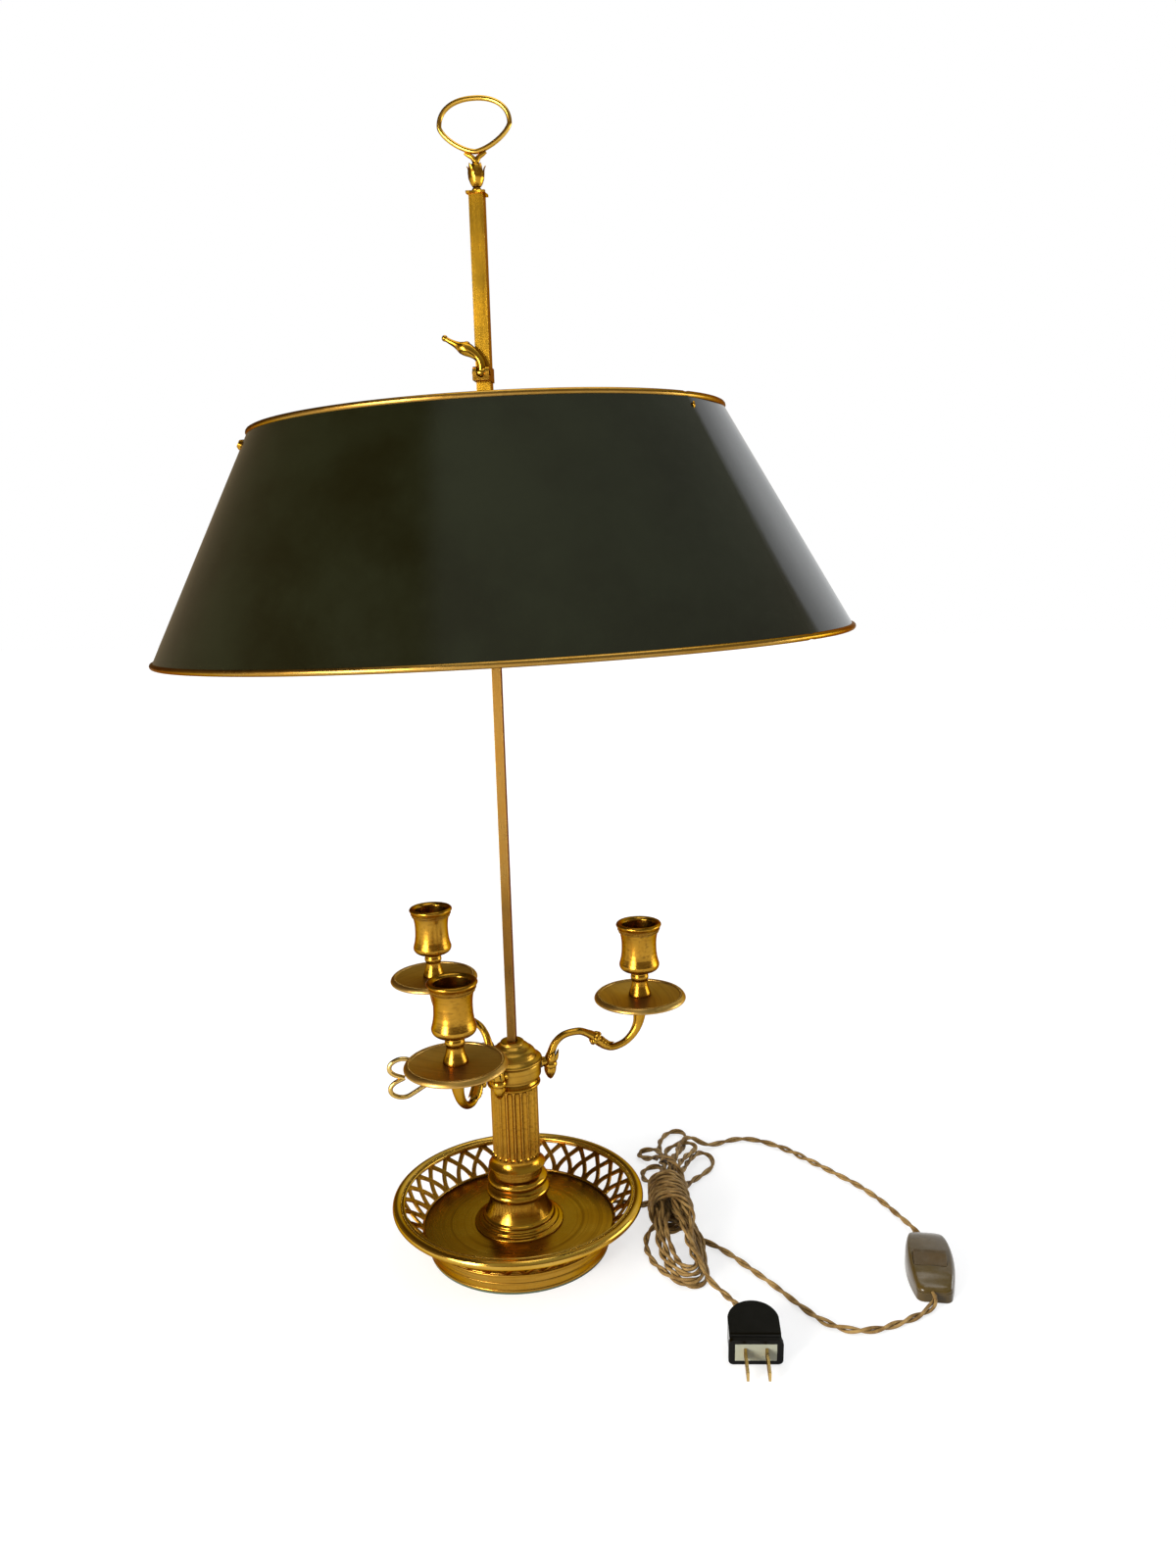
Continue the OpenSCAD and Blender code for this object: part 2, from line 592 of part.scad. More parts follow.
module candle_cup(i) {
    lip = cup_h - 0.8;
    color(BRASS) rotate([0, 0, arm_angle(i)]) translate([arm_reach, 0, pan_floor])
        rotate_extrude($fn = 96) difference() {
            polygon(concat([[0, 0], [7.4, 0], [7.7, 0.6], [7.7, 3.6], [7.2, 6], [6, 9.4],
                [5.8, 11], [6.6, 11.8], [6.9, 13], [6.9, 14.6], [6.2, 15.4], [6.2, 16.4]],
                arc([9.4, 22.6], 4.6, 275, 395, 8),
                [[12.5, 29], [12.1, 33], [12, 38], [12.4, 42], [13, 44.6], [13.7, 45.2],
                [13.7, 46.2], [13.9, 46.8], [cup_mouth_r - 0.3, lip - 1.6],
                [cup_mouth_r, lip - 0.8], [cup_mouth_r - 0.3, lip], [cup_mouth_r - 1, cup_h],
                [0, cup_h]]));
            translate([-1, -1]) square([1 + stud_r + fit, 1 + stud_len - pan_t - pan_boss + seat]);
            polygon([[0, cup_h - candle_depth - 1], [candle_r, cup_h - candle_depth - 1],
                [candle_r, cup_h - 1], [candle_r + 1.2, cup_h + 0.01], [0, cup_h + 1]]);
        }
}

module candle_arm_front() { arm(0); }
module candle_arm_right() { arm(1); }
module candle_arm_back() { arm(2); }
module drip_pan_front() { drip_pan(0); }
module drip_pan_right() { drip_pan(1); }
module drip_pan_back() { drip_pan(2); }
module candle_cup_front() { candle_cup(0); }
module candle_cup_right() { candle_cup(1); }
module candle_cup_back() { candle_cup(2); }

// ---- rod and lampholders

module rod() {
    color(BRASS) difference() {
        union() {
            translate([-rod_side / 2, -rod_side / 2, collar_top + fit])
                cube([rod_side, rod_side, rod_top - collar_top - fit]);
            translate([0, 0, pipe_top + fit]) cylinder(r = tenon_r, h = collar_top - pipe_top);
        }
        translate([0, 0, pipe_top - 1]) cylinder(r = lead_r + 0.4, h = rod_top);
    }
}

module cluster_body() {
    r = 11.5;
    color(BRASS) difference() {
        union() {
            translate([0, 0, holder_z]) rotate_extrude($fn = 64) polygon(concat([[0, -15], [6, -15],
                [6.6, -13.6], [8.4, -12.4]], arc([0, 0], r, -46, 46, 12), [[8.4, 12.4], [6.6, 13.6],
                [6, 15], [0, 15]]));
            translate([0, 0, holder_z]) x_rod(4.9, -16, 16);
        }
        translate([0, 0, holder_z]) cube([rod_side + 2 * fit, rod_side + 2 * fit, 40], center = true);
    }
}

// Profile pieces of a holder and a bulb run along +X from the cluster
holder_x = 16.3;
module lampholder(side) {
    color(CREAM) translate([0, 0, holder_z]) mirror([side < 0 ? 1 : 0, 0, 0]) translate([holder_x, 0, 0])
        rotate([0, 90, 0]) rotate_extrude($fn = 64) polygon([[0, 0], [5.5, 0], [6.5, 1.2],
            [holder_r - 2, 5], [holder_r - 0.6, 6.5], [holder_r - 0.6, 8.6], [holder_r, 9],
            [holder_r, holder_len - 1.5], [holder_r - 1, holder_len], [8, holder_len],
            [8, 9], [0, 9]]);
}

module bulb(side) {
    socket = 9.3;                              // the bulb's contact lies just off the holder's floor
    neck = holder_len + 1;
    wide = neck + bulb_len * 0.3;
    tip = holder_len + bulb_len;
    color([1, 0.98, 0.9]) translate([0, 0, holder_z]) mirror([side < 0 ? 1 : 0, 0, 0])
        translate([holder_x, 0, 0]) rotate([0, 90, 0]) rotate_extrude($fn = 64)
            polygon(concat([[0, socket], [3, socket], [6.9, socket + 3], [6.9, holder_len - 3],
                [7.6, neck], [bulb_r * 0.62, neck + bulb_len * 0.1]],
                [for (k = [0:12]) let (u = k / 12)
                    [bulb_r * cos(90 * pow(u, 1.5)), wide + (tip - wide) * u]]));
}

module lampholder_left() { lampholder(-1); }
module lampholder_right() { lampholder(1); }
module bulb_left() { bulb(-1); }
module bulb_right() { bulb(1); }

// ---- key with a heart-shaped bow, in the plane y = 0 before it is turned

module clamp_key() {
    far = key_len - heart_wire / 2;
    narrow = far - 38.5;
    half = (heart_h - heart_wire) / 2;
    // one lobe, from the narrow end to the cusp between the lobes
    lobe = [[narrow, 0], [narrow + 8, half * 0.26], [narrow + 16, half * 0.55],
        [narrow + 22.5, half * 0.82], [narrow + 28, half], [narrow + 33.5, half * 0.97],
        [far - 0.6, half * 0.75], [far, half * 0.48], [far - 2.6, half * 0.24], [far - 9.7, 0]];
    upper = curve(lobe, 3);
    color(BRASS) rotate([0, 0, key_turn]) translate([0, 0, key_z]) {
        for (up = [1, -1])
            tube([for (q = upper) [q[0], 0, up * q[1]]], [for (q = upper) heart_wire / 2], 8, [0, 1, 0]);
        x_rod(key_r, tenon_r + fit + run, collar_r + 0.4);
        x_rod(2.3, collar_r + 0.4, narrow + 1.5);
        x_rod(4, collar_r + 0.4, collar_r + 3.2);
        x_rod(3.1, collar_r + 3.2, collar_r + 5);
        translate([narrow - 3, 0, 0]) sphere(r = 3.4, $fn = 32);
    }
}

// ---- sleeve, finial and clamp lever

module sleeve() {
    window_w = 3.6;
    color(BRASS) difference() {
        translate([-sleeve_out, -sleeve_out, sleeve_z]) cube([sleeve_side, sleeve_side, sleeve_len]);
        translate([-sleeve_in, -sleeve_in, sleeve_z - 1])
            cube([2 * sleeve_in, 2 * sleeve_in, sleeve_len + 2]);
        translate([-window_w / 2, -sleeve_out - 1, pivot_z - 2.2])
            cube([window_w, sleeve_out + 1, 9]);
    }
}

module sleeve_cap() {
    w = sleeve_side + 2.8;
    color(BRASS) difference() {
        union() {
            translate([-w / 2, -w / 2, sleeve_top]) cube([w, w, cap_plate]);
            translate([-sleeve_in + fit, -sleeve_in + fit, sleeve_top - 3])
                cube([2 * (sleeve_in - fit), 2 * (sleeve_in - fit), 3.5]);
        }
        // hollowed edges, which leave four pointed corners
        for (a = [0:90:270]) rotate([0, 0, a]) translate([w / 2 + 9.4, 0, sleeve_top - 1])
            cylinder(r = 10, h = cap_plate + 2);
    }
}

module finial_bud() {
    z0 = sleeve_top + cap_plate;
    saddle_r = 1.3;
    color(BRASS) {
        translate([0, 0, z0]) rotate_extrude($fn = 32) polygon([[0, 0], [2.4, 0], [2.9, 0.9], [2.9, 1.9],
            [2, 2.9], [1.9, 3.4], [2.9, 5.4], [3.7, 8], [4.3, 11], [4.2, 12.8], [3.3, 15.2],
            [2.1, 16.2], [1.6, 17], [1.6, bud_h - 2], [0, bud_h - 2]]);
        // leaf tips that stand off the bud
        for (a = [20, 140, 260]) rotate([0, 0, a]) translate([3.7, 0, z0 + 12.4])
            rotate([0, 35, 0]) cylinder(r1 = 1.6, r2 = 0.5, h = 3.2, $fn = 16);
        // the fork that spreads into the ring
        hull() {
            translate([0, 0, z0 + bud_h - 4]) cylinder(r = 1.7, h = 0.2, $fn = 20);
            translate([0, 0, z0 + bud_h - saddle_r + seat]) rotate([0, 90, 0])
                cylinder(r = saddle_r, h = 9, center = true, $fn = 20);
        }
    }
}

module finial_ring() {
    a = (ring_w - ring_wire) / 2;
    b = (ring_h - ring_wire) / 2;
    // rounder above, and drawn in to a V below
    color(BRASS) translate([0, 0, ring_z + seat]) loop_wire([for (k = [0:47])
        let (t = 7.5 * k, e = t < 180 ? 0.9 : 1.35)
        [a * sign(cos(t)) * pow(abs(cos(t)), e), 0, b * sign(sin(t)) * pow(abs(sin(t)), e)]],
        ring_wire / 2, 10);
}

module lever_clip() {
    top = pivot_z + 3.8;
    low = pivot_z - eye_r - 1.8;
    floor_up = low + 1.4;
    front = pivot_y - 3.6;
    color(BRASS) difference() {
        translate([-clip_w, front, low]) cube([2 * clip_w, clip_w - front, top - low]);
        // the sleeve and the lever's slot
        translate([-sleeve_out, -sleeve_out, low - 1]) cube([sleeve_side, sleeve_side, 20]);
        translate([-cheek_in, front + 1.2, floor_up]) cube([2 * cheek_in, -front, 20]);
        // notch in the front wall, where the neck swings down
        translate([0, front - 1, floor_up + cheek_in]) rotate([-90, 0, 0]) cylinder(r = cheek_in, h = 4);
        translate([-cheek_in, front - 1, floor_up + cheek_in]) cube([2 * cheek_in, 4, 20]);
        // rounded cheeks
        translate([-20, pivot_y, top - 3.6]) rotate([0, 90, 0]) difference() {
            translate([-4, -5, 0]) cube([4, 5, 40]);
            translate([0, 0, -1]) cylinder(r = 3.6, h = 42);
        }
        translate([0, pivot_y, pivot_z]) x_rod(pin_r + 0.01, -20, 20);
    }
}

module lever_pin() {
    head_r = pin_r + 0.35;
    color(BRASS) translate([0, pivot_y, pivot_z]) {
        x_rod(pin_r, -clip_w - 0.1, clip_w + 0.1);
        x_rod(head_r, -clip_w - 0.6, -clip_w - 0.1);
        x_rod(head_r, clip_w + 0.1, clip_w + 0.6);
    }
}

// A duck's head on a neck. The eye turns on the pin, and its nose bears on the rod.
module clamp_lever() {
    neck_w = cheek_in - 0.25;
    // across, up and radius, from the eye to the bill
    duck = [[0, 1.5, neck_w], [0, 6, neck_w], [-2, 9.2, 2.6], [-5.2, 12, 3.2], [-8.8, 13.8, 4],
        [-12, 15, 3.4], [-14.6, 16.5, 2.4], [-18, 18.6, 1.7], [-21.6, 20.8, 1.4]];
    line = curve(duck, 3);
    nose = -pivot_y - rod_side / 2 - 0.2;
    color(BRASS) translate([0, pivot_y, pivot_z]) difference() {
        union() {
            tube([for (q = line) [q[0], 0, q[1]]], [for (q = line) q[2]], 12, [0, 1, 0]);
            x_rod(eye_r, -neck_w, neck_w);
            translate([-1.5, 0, -1.2]) cube([3, nose, 2.4]);
            translate([-22, 0, 21]) sphere(r = 1.9, $fn = 24);
            // eyes
            for (s = [-1, 1]) translate([-10.2, s * 3.1, 15.2]) sphere(r = 1.1, $fn = 16);
        }
        x_rod(pin_r + run, -10, 10);
    }
}

// ---- shade

// Half sizes of the shade's oval at height z, `off` outside the middle of the sheet
function shade_a(z, off = 0) = let (up = (z - shade_low_z) / shade_h)
    shade_low_a + (shade_top_a - shade_low_a) * up + off;
function shade_b(z, off = 0) = let (up = (z - shade_low_z) / shade_h)
    shade_low_b + (shade_top_b - shade_low_b) * up + off;
// Distance of the wall from the rod in the direction a
function shade_r(z, a) = let (p = shade_a(z), q = shade_b(z))
    p * q / sqrt(pow(q * cos(a), 2) + pow(p * sin(a), 2));
// How fast the oval's half sizes shrink going up
slope_a = (shade_low_a - shade_top_a) / shade_h;
slope_b = (shade_low_b - shade_top_b) / shade_h;
// Outward normal of the wall at the screws' height, in the direction a
function wall_normal(a) = let (
    p = shade_a(screw_z), q = shade_b(screw_z),
    x = shade_r(screw_z, a) * cos(a), y = shade_r(screw_z, a) * sin(a))
    unit([x / p / p, y / q / q, x * x * slope_a / pow(p, 3) + y * y * slope_b / pow(q, 3)]);
segments = 96;
function oval(z, off) = [for (k = [0:segments - 1]) let (t = 360 * k / segments)
    [shade_a(z, off) * cos(t), shade_b(z, off) * sin(t), z]];

// The shade sits a little askew on its upright hub
module leaning() {
    translate([0, 0, screw_z]) rotate([0, -shade_tilt, 0]) translate([0, 0, -screw_z]) children();
}

// Puts its children on the wall at a screw, with +X straight out of the wall
module on_wall_at(a) {
    n = wall_normal(a);
    rotate([0, 0, a]) translate([shade_r(screw_z, a), 0, screw_z]) rotate([0, 0, atan2(n[1], n[0]) - a])
        rotate([0, -asin(n[2]), 0]) children();
}

module shade_sheet() {
    low = shade_low_z + bead_r + seat;
    high = shade_top_z - bead_r - seat;
    half = shade_t / 2 * norm([1, slope_a]);
    rings = concat(oval(low, half), oval(high, half), oval(high, -half), oval(low, -half));
    faces = [for (j = [0:3]) for (k = [0:segments - 1]) let (
        m = (k + 1) % segments, p = j * segments, q = ((j + 1) % 4) * segments)
        [p + k, q + k, q + m, p + m]];
    color(TOLE) leaning() difference() {
        polyhedron(rings, split(faces), convexity = 6);
        for (a = spider_turns) on_wall_at(a) x_rod(screw_r + seat, -4, 4);
    }
}

module shade_rim(z) {
    color(BRASS) leaning() loop_wire([for (k = [0:71]) let (t = 5 * k)
        [shade_a(z) * cos(t), shade_b(z) * sin(t), z]], bead_r, 8, [0, 0, 1]);
}
module shade_rim_top() { shade_rim(shade_top_z); }
module shade_rim_bottom() { shade_rim(shade_low_z); }

// Crossbar: an upright hub on the sleeve, and two spokes with a foot on the shade's wall
module spider() {
    hub_h = 9;
    hub_z = screw_z + spoke_up;
    foot_in = shade_t / 2 + 1.6 * seat;
    foot_t = 1.6;
    color(BRASS) difference() {
        union() {
            translate([0, 0, hub_z - hub_h / 2]) cylinder(r = sleeve_out + 5, h = hub_h);
            leaning() for (a = spider_turns) {
                spoke_end = shade_r(hub_z, a) - foot_in - foot_t - 1.6;
                rotate([0, 0, a]) translate([0, 0, hub_z]) {
                    x_rod(spoke_r, sleeve_out + 3, spoke_end);
                    translate([spoke_end, 0, 0]) sphere(r = spoke_r + 0.5, $fn = 24);
                }
                on_wall_at(a) translate([-foot_in - foot_t, -4, -4]) cube([foot_t, 8, 9.5]);
            }
        }
        translate([-sleeve_out, -sleeve_out, hub_z - 20]) cube([sleeve_side, sleeve_side, 40]);
        leaning() for (a = spider_turns) on_wall_at(a) x_rod(screw_r + seat, -foot_in - foot_t - 1, 2);
    }
}

module spider_screws() {
    head_r = 3.6;
    color(BRASS) leaning() for (a = spider_turns) on_wall_at(a) translate([shade_t / 2 + seat, 0, 0]) {
        x_rod(screw_r, -3.2, 0.5);
        rotate([0, 90, 0]) cylinder(r1 = head_r, r2 = head_r - 1.4, h = 2.2, $fn = 32);
    }
}

// ---- cord switch

module at_switch() {
    translate(switch_at) rotate([0, 0, switch_turn]) children();
}

// Outline of the switch seen from above: bulging sides, flat ends and rounded corners
module switch_plan() {
    bulge = 110;
    corner = 5;
    end_y = switch_len / 2 - corner;
    side_x = switch_w / 2 - bulge;             // middle of the side's arc
    a = asin(end_y / (bulge - corner));        // where the side's arc turns into the corner's
    corner_x = side_x + (bulge - corner) * cos(a);
    quarter = concat(arc([side_x, 0], bulge, a / 8, a, 7),
        arc([corner_x, end_y], corner, a + (90 - a) / 6, 90, 5));
    half = concat(quarter, mirrored(quarter));
    polygon(concat(half, [for (q = half) [-q[0], -q[1]]]));
}

module switch_base() {
    color(TAUPE) at_switch() difference() {
        translate(switch_shift) linear_extrude(height = split_z - 0.05) switch_plan();
        translate([0, 0, rocker_z]) x_rod(rocker_r + 0.5, -rocker_w / 2 - 0.4, rocker_w / 2 + 0.4);
    }
}

module switch_cover() {
    half = switch_len / 2;
    k = switch_h / 15;
    slot_near = -10.6;                         // the rocker's slot, from its axis
    slot_far = rocker_r + 0.6;
    color(TAUPE) at_switch() difference() {
        translate(switch_shift) intersection() {
            translate([0, 0, split_z]) linear_extrude(height = switch_h - split_z) switch_plan();
            // crowned along its length, with a long slope down to the near end
            rotate([90, 0, 90]) linear_extrude(height = switch_w + 2, center = true)
                polygon([[-half, 0], [-half, 3], [-half + 5.5, 10 * k], [-half + 16, 13.6 * k],
                    [0, switch_h], [half - 16, 13.6 * k], [half - 3, 10.5 * k], [half, 8 * k],
                    [half, 0]]);
        }
        translate([-rocker_w / 2 - 0.4, slot_near, rocker_z - 1])
            cube([rocker_w + 0.8, slot_far - slot_near, 20]);
        translate([0, 0, rocker_z]) {
            x_rod(rocker_r + 0.5, -rocker_w / 2 - 0.4, rocker_w / 2 + 0.4);
            x_rod(pivot_r + run, -rocker_w / 2 - 2.2, rocker_w / 2 + 2.2);
        }
    }
}

module switch_rocker() {
    tilt = 9;
    ridge_h = switch_h - rocker_z + 3.6;
    color(DARK_BRASS) at_switch() translate([0, 0, rocker_z]) {
        x_rod(rocker_r, -rocker_w / 2, rocker_w / 2);
        x_rod(pivot_r, -rocker_w / 2 - 1.8, rocker_w / 2 + 1.8);
        // a ridge at the back, and a face that slopes to the near end
        rotate([tilt, 0, 0]) translate([-rocker_w / 2, 0, 0]) rotate([90, 0, 90])
            linear_extrude(height = rocker_w) polygon([[-3.9, 0], [-3.9, 2.6], [-8.4, 3.2],
                [-9.2, 4.2], [-8.6, 5.2], [-1.4, ridge_h], [1.6, ridge_h], [3.9, 5.4], [3.9, 0]]);
    }
}

// ---- plug, modelled level with its face along -Y

module at_plug() {
    translate(plug_at) rotate([plug_pitch, 0, plug_turn]) children();
}

module plug_body() {
    lip = 2.5;
    lip_out = 0.8;
    edge_r = 3;                                // rounding of the long edges
    grip_r = 2.2;                              // hollow across the top, behind the face
    plate = [25, 12.6];
    wide = plug_w / 2 + lip_out - edge_r;
    high = plug_h - edge_r;
    color([0.05, 0.05, 0.05]) at_plug() difference() {
        intersection() {
            union() {
                // rounded back, drawn as a half-round D
                linear_extrude(height = plug_h - 1) intersection() {
                    translate([-plug_w / 2, 0]) square([plug_w, plug_len]);
                    union() {
                        translate([0, plug_len - plug_w / 2 - 0.2])
                            circle(r = plug_w / 2 + 0.2, $fn = 96);
                        translate([-plug_w / 2, 0]) square([plug_w, plug_len - plug_w / 2]);
                    }
                }
                translate([-plug_w / 2 - lip_out, 0, 0]) cube([plug_w + 2 * lip_out, lip, plug_h]);
            }
            rotate([90, 0, 0]) linear_extrude(height = 3 * plug_len, center = true)
                polygon(concat(arc([wide, edge_r], edge_r, -90, 0, 5), arc([wide, high], edge_r, 0, 90, 5),
                    arc([-wide, high], edge_r, 90, 180, 5), arc([-wide, edge_r], edge_r, 180, 270, 5)));
        }
        // seat of the pale plate, and room behind it for the blades
        translate([-plate[0] / 2, -1, (plug_h - plate[1]) / 2]) cube([plate[0], 3, plate[1]]);
        for (s = [-1, 1]) translate([s * blade_gap / 2 - 1, -1, plug_h / 2 - 3.5]) cube([2, 7, 7]);
        translate([0, 5.5, plug_h]) x_rod(grip_r, -plug_w, plug_w);
    }
}

module plug_face() {
    color(CREAM) at_plug() difference() {
        translate([-12.4, 0.1, plug_h / 2 - 6.2]) cube([24.8, 1.9, 12.4]);
        for (s = [-1, 1]) translate([s * blade_gap / 2 - 0.85, -1, plug_h / 2 - 3.3]) cube([1.7, 4, 6.6]);
    }
}

module plug_blades() {
    color(DARK_BRASS) at_plug() for (s = [-1, 1])
        translate([s * blade_gap / 2 - 0.75, -blade_out, plug_h / 2 - 3.175])
            cube([1.5, blade_out + 5.8, 6.35]);
}

// ---- cord

module cord_inlet() { cord(INLET); }
module cord_to_switch() { cord(TO_SWITCH); }
module cord_from_switch() { cord(FROM_SWITCH); }
module cord_to_plug() { cord(TO_PLUG); }

// The wound hank: flat loops at both ends, and the waist that is wrapped tight
module cord_hank() {
    color(CORD) union() {
        for (loop = LOOPS) hull() for (disc = loop)
            translate([disc[0], disc[1], 0]) cylinder(r = disc[2], h = disc[3], $fn = 32);
        translate(waist_from) rotate([-90 - waist_tilt, 0, waist_turn])
            cylinder(r1 = waist_r[0], r2 = waist_r[1], h = waist_len);
    }
}

base_foot();
base_felt();
base_weight();
base_washer();
base_nut();
tie_pipe();
cord_gland();
inner_lead();
gallery();
gallery_rim();
column_base();
column();
arm_collar();
hub_cap();
candle_arm_front();
candle_arm_right();
candle_arm_back();
drip_pan_front();
drip_pan_right();
drip_pan_back();
candle_cup_front();
candle_cup_right();
candle_cup_back();
rod();
cluster_body();
lampholder_left();
lampholder_right();
bulb_left();
bulb_right();
clamp_key();
sleeve();
sleeve_cap();
finial_bud();
finial_ring();
lever_clip();
lever_pin();
clamp_lever();
spider();
spider_screws();
shade_sheet();
shade_rim_top();
shade_rim_bottom();
switch_base();
switch_cover();
switch_rocker();
plug_body();
plug_face();
plug_blades();
cord_inlet();
cord_hank();
cord_to_switch();
cord_from_switch();
cord_to_plug();
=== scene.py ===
"""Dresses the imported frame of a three-light bouillotte lamp.

Sizes are in millimetres in the classes below and become metres when a mesh is made.
The frame's origin is the middle of the foot, on the table, with +Z up.
"""

from __future__ import annotations

import logging
import math
from dataclasses import dataclass, field
from enum import Enum
from typing import Callable, Sequence

import bmesh
import bpy
import numpy as np
from mathutils import Matrix, Vector

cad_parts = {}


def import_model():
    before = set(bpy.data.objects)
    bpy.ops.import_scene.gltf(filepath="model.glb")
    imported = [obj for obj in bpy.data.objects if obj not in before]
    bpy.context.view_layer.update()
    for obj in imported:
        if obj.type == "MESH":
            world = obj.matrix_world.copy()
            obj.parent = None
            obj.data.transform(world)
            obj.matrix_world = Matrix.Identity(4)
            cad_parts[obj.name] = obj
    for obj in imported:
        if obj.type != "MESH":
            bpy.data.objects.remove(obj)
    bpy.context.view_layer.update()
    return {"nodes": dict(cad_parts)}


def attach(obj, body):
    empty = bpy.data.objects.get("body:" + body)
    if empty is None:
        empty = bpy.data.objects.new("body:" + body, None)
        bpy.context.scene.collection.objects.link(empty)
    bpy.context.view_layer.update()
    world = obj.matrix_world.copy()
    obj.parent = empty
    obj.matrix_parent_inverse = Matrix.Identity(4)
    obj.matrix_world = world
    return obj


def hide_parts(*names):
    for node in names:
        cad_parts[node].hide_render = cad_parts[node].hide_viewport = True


LOG = logging.getLogger("bouillotte_lamp")
MM = 0.001
TURN = 2 * math.pi
FACET = 32  # degrees; a smaller angle between two faces is only a facet of a curve
Points = Sequence[Sequence[float]]
Colour = tuple[float, float, float]


# ---------------------------------------------------------------- curves


def around(count: int) -> np.ndarray:
    """Angles of points spaced evenly round a circle, in radians."""
    return np.arange(count) * TURN / count


def outwards(turn: float) -> np.ndarray:
    """The level direction at an angle in radians."""
    return np.array([math.cos(turn), math.sin(turn), 0.0])


class Curve:
    """Smooth curves through given points, as numpy arrays of points."""

    @staticmethod
    def through(points: Points, step: float, closed: bool = False) -> np.ndarray:
        """Makes a smooth line through points, evenly spaced along its length.

        Args:
            points: The points that the line passes through.
            step: Wanted distance between two points of the result.
            closed: Whether the line comes back to its first point.

        Returns:
            The points of the line; a closed line doesn't repeat its first point.
        """
        p = np.asarray(points, float)
        if closed:
            p = np.vstack([p[-1:], p, p[:2]])
        else:
            p = np.vstack([2 * p[0] - p[1], p, 2 * p[-1] - p[-2]])
        dense = []
        for a, b, c, d in zip(p[:-3], p[1:-2], p[2:-1], p[3:]):
            knots = np.cumsum([0] + [max(np.linalg.norm(v), 1e-9) ** 0.5 for v in (b - a, c - b, d - c)])
            t = np.linspace(knots[1], knots[2], 25)[:-1, None]
            ab = (knots[1] - t) / knots[1] * a + t / knots[1] * b
            bc = (knots[2] - t) * b / (knots[2] - knots[1]) + (t - knots[1]) * c / (knots[2] - knots[1])
            cd = (knots[3] - t) * c / (knots[3] - knots[2]) + (t - knots[2]) * d / (knots[3] - knots[2])
            abc = (knots[2] - t) * ab / knots[2] + t * bc / knots[2]
            bcd = (knots[3] - t) * bc / (knots[3] - knots[1]) + (t - knots[1]) * cd / (knots[3] - knots[1])
            span = knots[2] - knots[1]
            dense.append((knots[2] - t) * abc / span + (t - knots[1]) * bcd / span)
        dense.append(p[-2:-1])
        return Curve.even(np.vstack(dense), step, closed)

    @staticmethod
    def even(line: np.ndarray, step: float, closed: bool = False) -> np.ndarray:
        """Spaces the points of a line evenly along its length."""
        run = Curve.run(line)
        count = max(2, int(round(run[-1] / step)))
        at = np.linspace(0, run[-1], count + 1)
        if closed:
            at = at[:-1]
        return np.column_stack([np.interp(at, run, line[:, k]) for k in range(line.shape[1])])

    @staticmethod
    def run(line: np.ndarray) -> np.ndarray:
        """Distance along the line of each of its points."""
        return np.concatenate([[0.0], np.cumsum(np.linalg.norm(np.diff(line, axis=0), axis=1))])

    @staticmethod
    def upright(line: np.ndarray) -> np.ndarray:
        """A flat line stood up: its first numbers go along X and its second up Z."""
        return np.column_stack([line[:, 0], np.zeros(len(line)), line[:, 1]])

    @staticmethod
    def frames(line: np.ndarray, closed: bool = False) -> tuple[np.ndarray, np.ndarray]:
        """Two directions across a line at each point, carried along it without twist.

        Args:
            line: The points of the line.
            closed: Whether the last point leads back to the first.

        Returns:
            The side and the up direction of each point.
        """
        if closed:
            heading = np.roll(line, -1, 0) - np.roll(line, 1, 0)
        else:
            heading = np.gradient(line, axis=0)
        heading /= np.linalg.norm(heading, axis=1)[:, None]
        first = np.cross(heading[0], (0.0, 0.0, 1.0))
        if np.linalg.norm(first) < 0.05:
            first = np.cross(heading[0], (0.0, 1.0, 0.0))
        sides = [first / np.linalg.norm(first)]
        for h in heading[1:]:
            s = sides[-1] - h * np.dot(sides[-1], h)
            sides.append(s / np.linalg.norm(s))
        side = np.array(sides)
        up = np.cross(side, heading)
        if closed:
            last = sides[-1] - heading[0] * np.dot(sides[-1], heading[0])
            slip = math.atan2(np.dot(last, up[0]), np.dot(last, side[0]))
            a = -slip * np.arange(len(line)) / len(line)
            side, up = (
                side * np.cos(a)[:, None] + up * np.sin(a)[:, None],
                up * np.cos(a)[:, None] - side * np.sin(a)[:, None],
            )
        return side, up

    @staticmethod
    def rings(side: np.ndarray, up: np.ndarray, turns: np.ndarray) -> np.ndarray:
        """A round of unit directions, at the given angles, for each point of a line with these frames."""
        return np.cos(turns)[None, :, None] * side[:, None, :] + np.sin(turns)[None, :, None] * up[:, None, :]

    @staticmethod
    def beside(
        line: np.ndarray, a: np.ndarray, across: np.ndarray, b: np.ndarray, over: np.ndarray
    ) -> np.ndarray:
        """Rows of points that stand off a line by a in one direction and by b in another."""
        return line[:, None, :] + a[..., None] * across[:, None, :] + b[..., None] * over[:, None, :]


# ---------------------------------------------------------------- meshes


